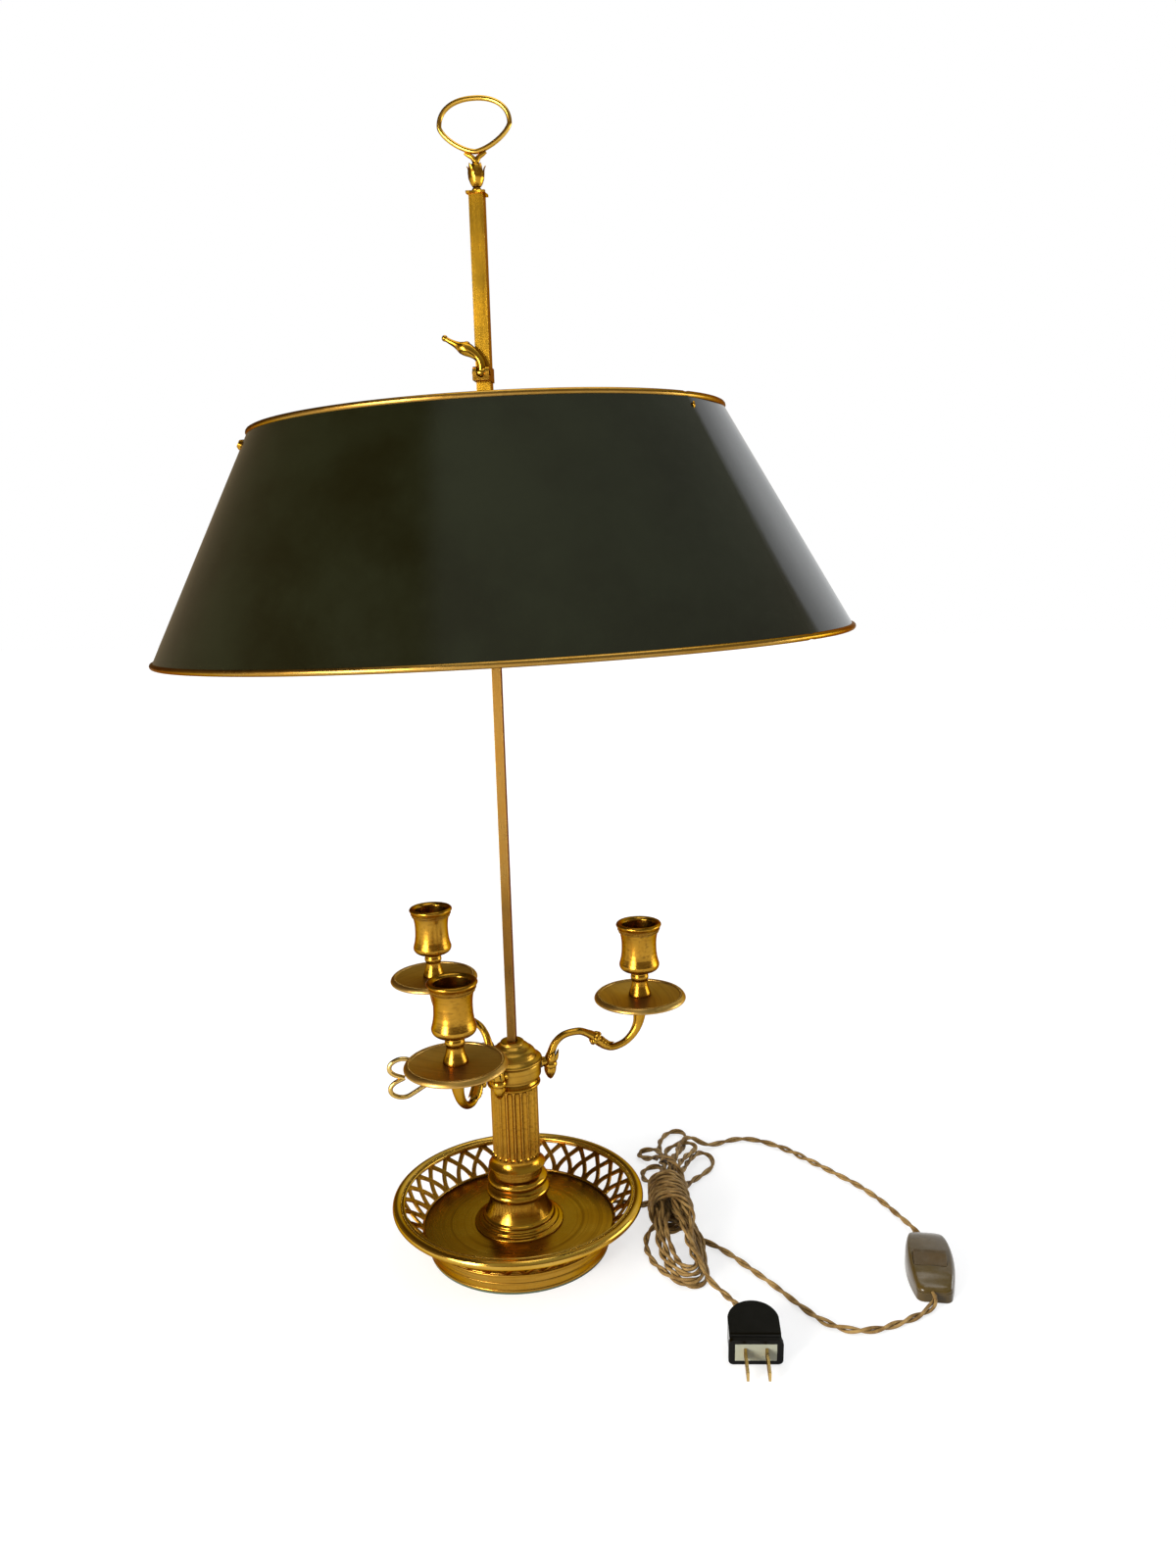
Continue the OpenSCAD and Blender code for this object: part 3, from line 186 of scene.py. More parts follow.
class Form:
    """Collects surfaces in millimetres and makes one mesh object of them."""

    def __init__(self) -> None:
        """Starts with no surface."""
        self.blocks: list[np.ndarray] = []
        self.faces: list[tuple[int, ...]] = []
        self.layers: list[np.ndarray] = []
        self.count = 0

    def grid(
        self,
        rows: np.ndarray,
        round_rows: bool = True,
        looped: bool = False,
        caps: bool = True,
        layer: np.ndarray | None = None,
    ) -> "Form":
        """Adds a surface through rows of points.

        Args:
            rows: Points as an array of (row, point, 3).
            round_rows: Whether each row closes on itself.
            looped: Whether the last row joins the first.
            caps: Whether the first and the last row are closed with a face; needs round rows.
            layer: Two numbers for each point, kept in the mesh's "Lay" coordinates.

        Returns:
            This form.
        """
        rows = np.asarray(rows, float)
        n, m, _ = rows.shape
        base = self.count
        self.blocks.append(rows.reshape(-1, 3))
        self.layers.append(np.zeros((n * m, 2)) if layer is None else np.asarray(layer, float).reshape(-1, 2))
        self.count += n * m
        for i in range(n if looped else n - 1):
            a, b = base + i * m, base + ((i + 1) % n) * m
            for k in range(m if round_rows else m - 1):
                j = (k + 1) % m
                self.faces.append((a + k, a + j, b + j, b + k))
        if round_rows and caps and not looped:
            self.faces.append(tuple(base + k for k in range(m - 1, -1, -1)))
            self.faces.append(tuple(base + (n - 1) * m + k for k in range(m)))
        return self

    def tube(
        self, line: np.ndarray, radius: float | np.ndarray, sides: int = 12, looped: bool = False
    ) -> "Form":
        """Adds a round tube along a line.

        Args:
            line: Points of the tube's middle.
            radius: One radius, or one for each point.
            sides: Points round the tube.
            looped: Whether the tube closes on itself.

        Returns:
            This form.
        """
        r = np.broadcast_to(np.asarray(radius, float), (len(line),))[:, None, None]
        rings = Curve.rings(*Curve.frames(line, looped), around(sides))
        return self.grid(line[:, None, :] + r * rings, looped=looped)

    def turned(
        self,
        profile: Points,
        centre: Sequence[float] = (0, 0, 0),
        steps: int = 96,
        looped: bool = False,
        wave: Callable[[np.ndarray, np.ndarray], np.ndarray] | None = None,
    ) -> "Form":
        """Adds a form turned on a lathe round the Z axis.

        Args:
            profile: Points of (radius, height), from the bottom round to the top.
            centre: Where the profile's origin stands.
            steps: Points round the form.
            looped: Whether the profile is a closed ring.
            wave: Takes (angle, profile position from 0 to 1) and gives what is added to the radius.

        Returns:
            This form.
        """
        p = np.asarray(profile, float)
        a = around(steps)
        r = np.repeat(p[:, 0][:, None], steps, 1)
        if wave:
            along = Curve.run(p) / max(Curve.run(p)[-1], 1e-9)
            r = r + wave(a[None, :], along[:, None])
        rows = np.stack([r * np.cos(a), r * np.sin(a), np.repeat(p[:, 1][:, None], steps, 1)], -1)
        caps = p[0, 0] > 1e-6 or p[-1, 0] > 1e-6
        return self.grid(rows + np.asarray(centre, float), looped=looped, caps=caps)

    def turned_across(
        self, profile: Points, steps: int, spot: Sequence[float] = (0, 0, 0), looped: bool = False
    ) -> "Form":
        """Adds a form turned round a line that runs along X through a spot."""
        part = Form().turned(profile, steps=steps, looped=looped)
        part.moved(Matrix.Translation(spot) @ Matrix.Rotation(math.pi / 2, 4, "Y"))
        return self.grid(part.blocks[0].reshape(-1, steps, 3), looped=looped)

    def hoop(self, outline: Points, steps: int, corner: float, height: float = 0.0) -> "Form":
        """Adds a turned ring with softened corners, from a closed outline."""
        return self.turned(Profile.soft(outline, corner, 3, closed=True), (0, 0, height), steps, looped=True)

    def moved(self, matrix: Matrix) -> "Form":
        """Moves all the points so far by a matrix in millimetres."""
        m = np.array(matrix)
        self.blocks = [b @ m[:3, :3].T + m[:3, 3] for b in self.blocks]
        return self

    def build(self, name: str, sharp: float = 38, weld: float = 0.004) -> bpy.types.Object:
        """Makes the mesh object.

        Args:
            name: Name of the object.
            sharp: Angle in degrees above which an edge stays sharp.
            weld: Points nearer than this become one.

        Returns:
            The new object, linked to the scene.
        """
        mesh = bpy.data.meshes.new(name)
        mesh.from_pydata((np.vstack(self.blocks) * MM).tolist(), [], self.faces)
        lay = mesh.uv_layers.new(name="Lay")
        corner = np.empty(len(mesh.loops), np.int32)
        mesh.loops.foreach_get("vertex_index", corner)
        lay.data.foreach_set("uv", np.vstack(self.layers)[corner].astype(np.float32).ravel())
        bm = bmesh.new()
        bm.from_mesh(mesh)
        bmesh.ops.remove_doubles(bm, verts=bm.verts, dist=weld * MM)
        bmesh.ops.dissolve_degenerate(bm, edges=bm.edges, dist=1e-6)
        bmesh.ops.recalc_face_normals(bm, faces=bm.faces)
        bm.to_mesh(mesh)
        bm.free()
        mesh.shade_smooth()
        mesh.set_sharp_from_angle(angle=math.radians(sharp))
        obj = bpy.data.objects.new(name, mesh)
        bpy.context.scene.collection.objects.link(obj)
        return obj


def place(angle: float, reach: float, height: float) -> Matrix:
    """Matrix to a spot at a distance from the rod, in the direction of an angle in degrees."""
    return Matrix.Rotation(math.radians(angle), 4, "Z") @ Matrix.Translation((reach, 0, height))


# ---------------------------------------------------------------- shader nodes


class Desk:
    """Writes nodes into one node tree."""

    def __init__(self, tree: bpy.types.NodeTree) -> None:
        """Works on the given tree."""
        self.tree = tree

    @staticmethod
    def cleared(owner: bpy.types.ID) -> "Desk":
        """The desk of a material's or a world's own tree, with nothing on it."""
        owner.use_nodes = True
        owner.node_tree.nodes.clear()
        return Desk(owner.node_tree)

    def add(
        self, kind: str, inputs: dict[str | int, object] | None = None, **settings: object
    ) -> bpy.types.Node:
        """Adds a node.

        Args:
            kind: The node's type name.
            inputs: Values or sockets for its inputs, by name or number.
            settings: The node's own properties.

        Returns:
            The node.
        """
        node = self.tree.nodes.new(kind)
        for key, value in settings.items():
            setattr(node, key, value)
        for key, value in (inputs or {}).items():
            if isinstance(value, bpy.types.NodeSocket):
                self.tree.links.new(value, node.inputs[key])
            elif isinstance(value, tuple) and len(value) == 3 and node.inputs[key].type == "RGBA":
                node.inputs[key].default_value = (*value, 1.0)
            else:
                node.inputs[key].default_value = value
        return node

    def math(self, operation: str, a: object, b: object = 0.0, clamp: bool = False) -> bpy.types.NodeSocket:
        """The result of one operation on two numbers."""
        return self.add("ShaderNodeMath", {0: a, 1: b}, operation=operation, use_clamp=clamp).outputs[0]

    def plus(self, a: object, b: object, clamp: bool = False) -> bpy.types.NodeSocket:
        """The sum of two numbers."""
        return self.math("ADD", a, b, clamp)

    def minus(self, a: object, b: object) -> bpy.types.NodeSocket:
        """The first number less the second."""
        return self.math("SUBTRACT", a, b)

    def times(self, a: object, b: object, clamp: bool = False) -> bpy.types.NodeSocket:
        """The product of two numbers."""
        return self.math("MULTIPLY", a, b, clamp)

    def span(
        self, value: object, low: float, high: float, to_low: float = 0.0, to_high: float = 1.0
    ) -> bpy.types.NodeSocket:
        """Value moved smoothly from the span (low, high) to (to_low, to_high)."""
        node = self.add(
            "ShaderNodeMapRange",
            {"Value": value, "From Min": low, "From Max": high, "To Min": to_low, "To Max": to_high},
            interpolation_type="SMOOTHSTEP",
        )
        return node.outputs["Result"]

    def blend(self, factor: object, a: object, b: object) -> bpy.types.NodeSocket:
        """Colour a turned into colour b by a factor."""
        inputs = {0: factor, 6: a, 7: b}
        return self.add("ShaderNodeMix", inputs, data_type="RGBA", blend_type="MIX").outputs[2]

    def place(self) -> bpy.types.NodeSocket:
        """The point on the object, in metres."""
        return self.add("ShaderNodeTexCoord").outputs["Object"]

    def stretched(self, scale: Sequence[float], vector: object = None) -> bpy.types.NodeSocket:
        """A vector times a scale on each axis."""
        inputs = {"Vector": vector or self.place(), "Scale": tuple(scale)}
        return self.add("ShaderNodeMapping", inputs).outputs[0]

    def noise(
        self, vector: object, scale: object, detail: float = 3.0, rough: float = 0.55
    ) -> bpy.types.NodeSocket:
        """Noise from 0 to 1."""
        inputs = {"Vector": vector, "Scale": scale, "Detail": detail, "Roughness": rough}
        return self.add("ShaderNodeTexNoise", inputs).outputs["Fac"]

    def height_of(self, vector: object) -> bpy.types.NodeSocket:
        """The Z part of a vector."""
        return self.add("ShaderNodeSeparateXYZ", {0: vector}).outputs[2]

    def cells(self, vector: object, scale: float) -> bpy.types.NodeSocket:
        """Distance to the nearest point of a cell pattern."""
        return self.add("ShaderNodeTexVoronoi", {"Vector": vector, "Scale": scale}).outputs["Distance"]


class Effect:
    """A shared surface effect, kept as one shader node group."""

    made: dict[str, bpy.types.NodeTree] = {}

    def __init__(self, name: str, inputs: dict[str, float], outputs: Sequence[str]) -> None:
        """Starts a group.

        Args:
            name: The group's name.
            inputs: Names of its number inputs, with their values at first.
            outputs: Names of its number outputs.
        """
        self.tree = bpy.data.node_groups.new(name, "ShaderNodeTree")
        for key, value in inputs.items():
            socket = self.tree.interface.new_socket(key, in_out="INPUT", socket_type="NodeSocketFloat")
            socket.default_value = value
        for key in outputs:
            self.tree.interface.new_socket(key, in_out="OUTPUT", socket_type="NodeSocketFloat")
        self.desk = Desk(self.tree)
        self.given = self.tree.nodes.new("NodeGroupInput").outputs
        self.result = self.tree.nodes.new("NodeGroupOutput").inputs
        Effect.made[name] = self.tree

    def give(self, name: str, socket: bpy.types.NodeSocket) -> None:
        """Sends a socket to the named output."""
        self.tree.links.new(socket, self.result[name])

    def marks(self, fine: bpy.types.NodeSocket, broad: bpy.types.NodeSocket, share: float) -> None:
        """Gives a height from fine marks and a share of broad ones, and a tone from the broad ones."""
        self.give("Height", self.desk.plus(fine, self.desk.times(broad, share)))
        self.give("Tone", self.desk.minus(broad, 0.5))

    @staticmethod
    def use(desk: Desk, name: str, **inputs: object) -> bpy.types.bpy_prop_collection:
        """Places the named group in a material.

        Args:
            desk: The material's desk.
            name: Name of the group.
            inputs: Values or sockets for its inputs.

        Returns:
            The group node's outputs.
        """
        return desk.add("ShaderNodeGroup", inputs, node_tree=Effect.made[name]).outputs


# ---------------------------------------------------------------- shared effects


class Marks(Enum):
    """How a metal surface was worked."""

    TURNED = "turned on a lathe"
    DRAWN = "drawn or filed straight"
    CAST = "cast and chased"


def build_effects() -> None:
    """Builds each shared effect once."""
    recess = Effect("Recess", {"Reach": 0.003}, ["Mask"])
    d = recess.desk
    shade = d.add(
        "ShaderNodeAmbientOcclusion", {"Distance": recess.given["Reach"]}, samples=6, only_local=True
    )
    recess.give("Mask", d.minus(1.0, d.span(shade.outputs["AO"], 0.25, 0.85)))

    edge = Effect("Edge Wear", {"Width": 0.0006}, ["Mask"])
    d = edge.desk
    soft = d.add("ShaderNodeBevel", {"Radius": edge.given["Width"]}, samples=4).outputs[0]
    flat = d.add("ShaderNodeNewGeometry").outputs["Normal"]
    turn = d.add("ShaderNodeVectorMath", {0: soft, 1: flat}, operation="DOT_PRODUCT").outputs["Value"]
    patch = d.span(d.noise(d.place(), 260.0, 4.0), 0.35, 0.62)
    kept = d.minus(1.0, d.times(0.5, patch))
    edge.give("Mask", d.times(d.span(turn, 0.995, 0.86), kept, clamp=True))

    turned = Effect("Turned Marks", {}, ["Height", "Tone"])
    d = turned.desk
    xyz = d.add("ShaderNodeSeparateXYZ", {0: d.place()}).outputs
    radius = d.math("SQRT", d.plus(d.times(xyz[0], xyz[0]), d.times(xyz[1], xyz[1])))
    spun = d.add("ShaderNodeCombineXYZ", {0: radius, 1: xyz[2], 2: d.times(xyz[0], 0.03)}).outputs[0]
    turned.marks(d.noise(spun, 2600.0, 2.0, 0.7), d.noise(spun, 420.0, 3.0, 0.6), 0.8)

    drawn = Effect("Drawn Marks", {}, ["Height", "Tone"])
    d = drawn.desk
    fine = d.noise(d.stretched((1.0, 1.0, 0.012)), 2600.0, 2.0, 0.7)
    drawn.marks(fine, d.noise(d.stretched((1.0, 1.0, 0.05)), 300.0, 3.0, 0.6), 0.5)

    cast = Effect("Cast Skin", {}, ["Height", "Tone"])
    d = cast.desk
    soft = d.noise(d.place(), 210.0, 4.0, 0.55)
    pits = d.span(d.cells(d.place(), 1400.0), 0.0, 0.25)
    cast.give("Height", d.plus(soft, d.times(pits, 0.12)))
    cast.give("Tone", d.minus(soft, 0.5))

    handling = Effect("Handling", {"Size": 1.0}, ["Cloud", "Share", "Speck"])
    d = handling.desk
    share = d.span(d.noise(d.place(), d.times(handling.given["Size"], 38.0), 5.0, 0.62), 0.3, 0.7)
    handling.give("Share", share)
    handling.give("Cloud", d.minus(share, 0.5))
    handling.give("Speck", d.span(d.noise(d.place(), 900.0, 2.0, 0.5), 0.66, 0.78))

    dust = Effect("Dust", {"Amount": 0.3}, ["Mask"])
    d = dust.desk
    lying = d.span(d.height_of(d.add("ShaderNodeNewGeometry").outputs["Normal"]), 0.35, 0.98)
    drift = d.span(d.noise(d.place(), 160.0, 6.0, 0.7), 0.35, 0.75)
    dust.give("Mask", d.times(d.times(lying, drift), dust.given["Amount"]))

    braid = Effect("Silk Braid", {"Pitch": 1.0}, ["Height", "Tone"])
    d = braid.desk
    lay = d.add("ShaderNodeUVMap", uv_map="Lay").outputs[0]
    uv = d.add("ShaderNodeSeparateXYZ", {0: lay}).outputs
    run = d.times(d.math("DIVIDE", uv[0], braid.given["Pitch"]), TURN)
    turn = d.times(uv[1], TURN * 4)
    over = d.math("MAXIMUM", d.math("SINE", d.plus(run, turn)), d.math("SINE", d.minus(run, turn)))
    hair = d.noise(d.stretched((0.5, 9.0, 1.0), lay), 3.0, 3.0, 0.7)
    braid.give("Height", d.plus(over, d.times(hair, 0.5)))
    braid.give("Tone", d.plus(d.times(over, 0.35), d.minus(hair, 0.5)))

    grain = Effect("Moulded Grain", {}, ["Height", "Tone"])
    d = grain.desk
    grain.marks(d.noise(d.place(), 1500.0, 3.0, 0.6), d.noise(d.place(), 90.0, 2.0, 0.5), 1.5)


MARK_EFFECTS = {Marks.TURNED: "Turned Marks", Marks.DRAWN: "Drawn Marks", Marks.CAST: "Cast Skin"}


# ---------------------------------------------------------------- finishes


@dataclass(frozen=True)
class Finish:
    """A finish that makes its material once and puts it on objects."""

    name: str
    slot: str

    def shader(self, desk: Desk) -> dict[str, object]:
        """Values and sockets for the Principled shader; each finish gives its own."""
        raise NotImplementedError

    def material(self) -> bpy.types.Material:
        """The finish's material, made when it is first asked for."""
        title = f"{self.name}_finish"
        found = bpy.data.materials.get(title)
        if found:
            return found
        made = bpy.data.materials.new(title)
        desk = Desk.cleared(made)
        body = desk.add("ShaderNodeBsdfPrincipled", self.shader(desk))
        desk.add("ShaderNodeOutputMaterial", {"Surface": body.outputs[0]})
        return made

    def put_on(self, obj: bpy.types.Object) -> bpy.types.Object:
        """Gives an object this finish alone."""
        obj.data.materials.clear()
        obj.data.materials.append(self.material())
        return obj


def bump(desk: Desk, height: object, distance: float) -> bpy.types.NodeSocket:
    """A normal raised by a height, whose full size is a distance in metres."""
    return desk.add("ShaderNodeBump", {"Height": height, "Distance": distance, "Strength": 1.0}).outputs[0]


def shaded(colour: Colour, *shares: float) -> Colour:
    """A colour with its red, green and blue cut to the given shares."""
    return tuple(c * k for c, k in zip(colour, shares))


@dataclass(frozen=True)
class LacqueredBrass(Finish):
    """Old polished brass under an amber lacquer, darker in its recesses and brighter on worn edges."""

    marks: Marks = Marks.TURNED
    amber: Colour = (0.46, 0.25, 0.027)
    deep: Colour = (0.115, 0.045, 0.006)
    worn: Colour = (0.8, 0.5, 0.12)
    rough: float = 0.2
    recess_reach: float = 0.004
    relief: float = 0.000012
    streaks: float = 0.8

    def shader(self, desk: Desk) -> dict[str, object]:
        """See Finish.shader."""
        marks = Effect.use(desk, MARK_EFFECTS[self.marks])
        recess = Effect.use(desk, "Recess", Reach=self.recess_reach)["Mask"]
        edge = Effect.use(desk, "Edge Wear")["Mask"]
        hand = Effect.use(desk, "Handling")
        colour = desk.blend(hand["Share"], self.amber, shaded(self.amber, 0.88, 0.8, 0.6))
        colour = desk.blend(desk.times(marks["Tone"], self.streaks, clamp=True), colour, self.deep)
        colour = desk.blend(desk.times(edge, 0.45), colour, self.worn)
        colour = desk.blend(recess, colour, self.deep)
        rough = desk.plus(self.rough, desk.times(hand["Cloud"], 0.07))
        rough = desk.plus(rough, desk.times(marks["Tone"], 0.22))
        rough = desk.plus(rough, desk.times(recess, 0.22), clamp=True)
        return {
            "Base Color": colour,
            "Metallic": 1.0,
            "Roughness": rough,
            "Specular Tint": (0.34, 0.2, 0.06),
            "Normal": bump(desk, marks["Height"], self.relief),
        }


@dataclass(frozen=True)
class ShadeEnamel(Finish):
    """Glossy bronze-green paint on sheet metal, a little uneven, with fine scratches."""

    near: Colour = (0.0052, 0.005, 0.0014)
    far: Colour = (0.0085, 0.0094, 0.0036)
    rough: float = 0.13

    def shader(self, desk: Desk) -> dict[str, object]:
        """See Finish.shader."""
        hand = Effect.use(desk, "Handling", Size=0.35)
        dust = Effect.use(desk, "Dust", Amount=0.25)["Mask"]
        brush = desk.noise(desk.stretched((1.0, 1.0, 0.08)), 120.0, 4.0, 0.6)
        colour = desk.blend(hand["Share"], self.near, self.far)
        colour = desk.blend(dust, colour, (0.16, 0.15, 0.12))
        wave = desk.noise(desk.place(), 9.0, 2.0, 0.5)
        height = desk.plus(desk.times(wave, 12.0), brush)
        rough = desk.plus(self.rough, desk.times(hand["Cloud"], 0.06))
        rough = desk.plus(rough, desk.times(hand["Speck"], 0.1), clamp=True)
        return {
            "Base Color": colour,
            "Roughness": rough,
            "Specular IOR Level": 0.4,
            "Normal": bump(desk, height, 0.00003),
        }


@dataclass(frozen=True)
class PlainMetal(Finish):
    """Bare iron or steel of an inner piece."""

    bright: Colour = (0.42, 0.42, 0.43)
    dull: Colour = (0.16, 0.13, 0.11)
    rough: float = 0.4
    metal: float = 1.0

    def shader(self, desk: Desk) -> dict[str, object]:
        """See Finish.shader."""
        skin = Effect.use(desk, "Cast Skin")
        hand = Effect.use(desk, "Handling", Size=2.0)
        recess = Effect.use(desk, "Recess")["Mask"]
        stain = desk.plus(desk.times(hand["Cloud"], 0.6), recess, clamp=True)
        return {
            "Base Color": desk.blend(stain, self.bright, self.dull),
            "Metallic": self.metal,
            "Roughness": desk.plus(self.rough, desk.times(skin["Tone"], 0.4), clamp=True),
            "Normal": bump(desk, skin["Height"], 0.00004),
        }


@dataclass(frozen=True)
class MouldedPlastic(Finish):
    """Moulded plastic with a faint orange-peel surface and rubbed corners."""

    tone: Colour = (0.2, 0.17, 0.13)
    rubbed: Colour = (0.3, 0.26, 0.2)
    rough: float = 0.22
    peel: float = 0.00002
    gloss: float = 0.4
    dust: float = 0.06

    def shader(self, desk: Desk) -> dict[str, object]:
        """See Finish.shader."""
        grain = Effect.use(desk, "Moulded Grain")
        edge = Effect.use(desk, "Edge Wear", Width=0.0009)["Mask"]
        hand = Effect.use(desk, "Handling", Size=1.5)
        dust = Effect.use(desk, "Dust", Amount=self.dust)["Mask"]
        colour = desk.blend(hand["Share"], self.tone, shaded(self.tone, 0.8, 0.8, 0.8))
        colour = desk.blend(desk.times(edge, 0.6), colour, self.rubbed)
        colour = desk.blend(dust, colour, (0.4, 0.37, 0.32))
        rough = desk.plus(self.rough, desk.times(hand["Cloud"], 0.1))
        return {
            "Base Color": colour,
            "Roughness": desk.plus(rough, desk.times(edge, 0.15), clamp=True),
            "Specular IOR Level": self.gloss,
            "Normal": bump(desk, grain["Height"], self.peel),
        }


@dataclass(frozen=True)
class SilkCord(Finish):
    """Braided silk over the flex's wires, gold-brown, with darker gaps between its threads, paler patches of
    painted sheen, and painted shade in its crevices.
    """

    thread: Colour = (0.23, 0.12, 0.03)
    # light: the colour of the silk's highlights, used for patches of painted sheen
    light: Colour = (0.56, 0.36, 0.13)
    # gap: dark between the threads, and also the painted shade in the cord's crevices
    gap: Colour = (0.03, 0.012, 0.002)

    def shader(self, desk: Desk) -> dict[str, object]:
        """See Finish.shader."""
        braid = Effect.use(desk, "Silk Braid", Pitch=1.1)
        recess = Effect.use(desk, "Recess", Reach=0.0022)["Mask"]
        hand = Effect.use(desk, "Handling", Size=3.0)
        raised = desk.plus(braid["Tone"], 0.5, clamp=True)
        colour = desk.blend(raised, self.gap, self.thread)
        # Painted sheen: paler patches at random, in the colour of the silk's highlights
        colour = desk.blend(desk.times(hand["Share"], 0.6), colour, self.light)
        # Painted shade: the cord darkens in its crevices, where its strands meet and where it lies on itself
        # or the table
        colour = desk.blend(recess, colour, self.gap)
        return {
            "Base Color": colour,
            "Roughness": desk.minus(0.62, desk.times(raised, 0.2)),
            "Specular IOR Level": 0.15,
            "Sheen Weight": 0.06,
            "Sheen Roughness": 0.35,
            "Sheen Tint": (0.9, 0.65, 0.3),
            "Normal": bump(desk, braid["Height"], 0.00012),
        }


@dataclass(frozen=True)
class FeltCloth(Finish):
    """Pressed felt."""

    wool: Colour = (0.035, 0.06, 0.03)

    def shader(self, desk: Desk) -> dict[str, object]:
        """See Finish.shader."""
        hair = desk.noise(desk.place(), 1800.0, 5.0, 0.75)
        paler = shaded(self.wool, 1.9, 1.9, 1.9)
        return {
            "Base Color": desk.blend(desk.span(hair, 0.35, 0.7), self.wool, paler),
            "Roughness": desk.plus(0.85, desk.times(hair, 0.15)),
            "Sheen Weight": 0.5,
            "Normal": bump(desk, hair, 0.0003),
        }


@dataclass(frozen=True)
class FrostedGlass(Finish):
    """A bulb's milky glass."""

    milk: Colour = (0.88, 0.86, 0.8)

    def shader(self, desk: Desk) -> dict[str, object]:
        """See Finish.shader."""
        hand = Effect.use(desk, "Handling", Size=1.2)
        return {
            "Base Color": desk.blend(hand["Share"], self.milk, shaded(self.milk, 0.95, 0.9, 0.8)),
            "Roughness": desk.plus(0.28, desk.times(hand["Cloud"], 0.1)),
            "Subsurface Weight": 0.2,
            "Subsurface Scale": 0.004,
            "Normal": bump(desk, desk.noise(desk.place(), 1100.0), 0.00002),
        }


def brass(kind: str, marks: Marks = Marks.TURNED, **look: object) -> LacqueredBrass:
    """The lamp's brass with its own look on one kind of piece."""
    return LacqueredBrass(f"brass_{kind}", "lacquered_brass", marks=marks, **look)


def plastic(name: str, tone: Colour, rubbed: Colour, **look: object) -> MouldedPlastic:
    """A plastic that is named as its slot."""
    return MouldedPlastic(name, name, tone=tone, rubbed=rubbed, **look)


class Finishes:
    """The lamp's finishes, one for each kind of surface."""

    turned = brass("turned")
    drawn = brass("drawn", Marks.DRAWN, rough=0.24)
    cast = brass("cast", Marks.CAST, rough=0.22, relief=0.00005)
    pierced = brass("pierced", Marks.CAST, amber=(0.3, 0.145, 0.018), rough=0.28, relief=0.00004)
    rim = brass("rim", amber=(0.56, 0.34, 0.06), rough=0.2)
    tray = brass("tray", amber=(0.42, 0.235, 0.036), rough=0.28, relief=0.00003, streaks=3.0)
    satin = brass("satin", amber=(0.43, 0.25, 0.04), rough=0.32, relief=0.00004, streaks=2.0)
    column = brass("column", amber=(0.42, 0.215, 0.022), rough=0.22, relief=0.00003, streaks=2.0)
    pan = brass("pan", amber=(0.5, 0.31, 0.095), rough=0.36, relief=0.00003, streaks=1.5)
    cup = brass("cup", amber=(0.39, 0.205, 0.024), rough=0.23, relief=0.00005, streaks=2.5)
    sleeve = brass("sleeve", Marks.DRAWN, amber=(0.6, 0.34, 0.026), rough=0.24)
    rod = brass("rod", Marks.DRAWN, amber=(0.2, 0.108, 0.024), rough=0.3)
    bead = brass("bead", Marks.CAST, amber=(0.33, 0.19, 0.045), rough=0.3)
    key = brass("key", Marks.CAST, amber=(0.6, 0.42, 0.14), rough=0.22)
    blade = LacqueredBrass(
        "blade_brass", "blade_brass", marks=Marks.DRAWN, amber=(0.55, 0.38, 0.14), rough=0.3
    )
    steel = PlainMetal("steel", "steel")
    iron = PlainMetal("cast_iron", "iron", bright=(0.06, 0.06, 0.062), dull=(0.09, 0.05, 0.03), rough=0.6)
    enamel = ShadeEnamel("shade_enamel", "shade_enamel")
    felt = FeltCloth("felt", "felt")
    glass = FrostedGlass("bulb_glass", "bulb_glass")
    silk = SilkCord("silk_cord", "silk_cord")
    flex = MouldedPlastic("flex_sleeve", "wire", tone=(0.45, 0.4, 0.28), rubbed=(0.5, 0.45, 0.33), rough=0.5)
    holder = MouldedPlastic(
        "candle_tube_card", "lampholder", tone=(0.7, 0.66, 0.5), rubbed=(0.76, 0.73, 0.6), rough=0.4
    )
    switch = plastic("switch_plastic", (0.072, 0.043, 0.007), (0.13, 0.09, 0.03))
    rocker = plastic("rocker_plastic", (0.055, 0.03, 0.006), (0.12, 0.075, 0.02))
    black = plastic("black_plastic", (0.002, 0.0014, 0.0004), (0.006, 0.005, 0.003), gloss=0.1, dust=0.005)
    face = plastic("face_plastic", (0.38, 0.39, 0.3), (0.46, 0.46, 0.38), rough=0.4)


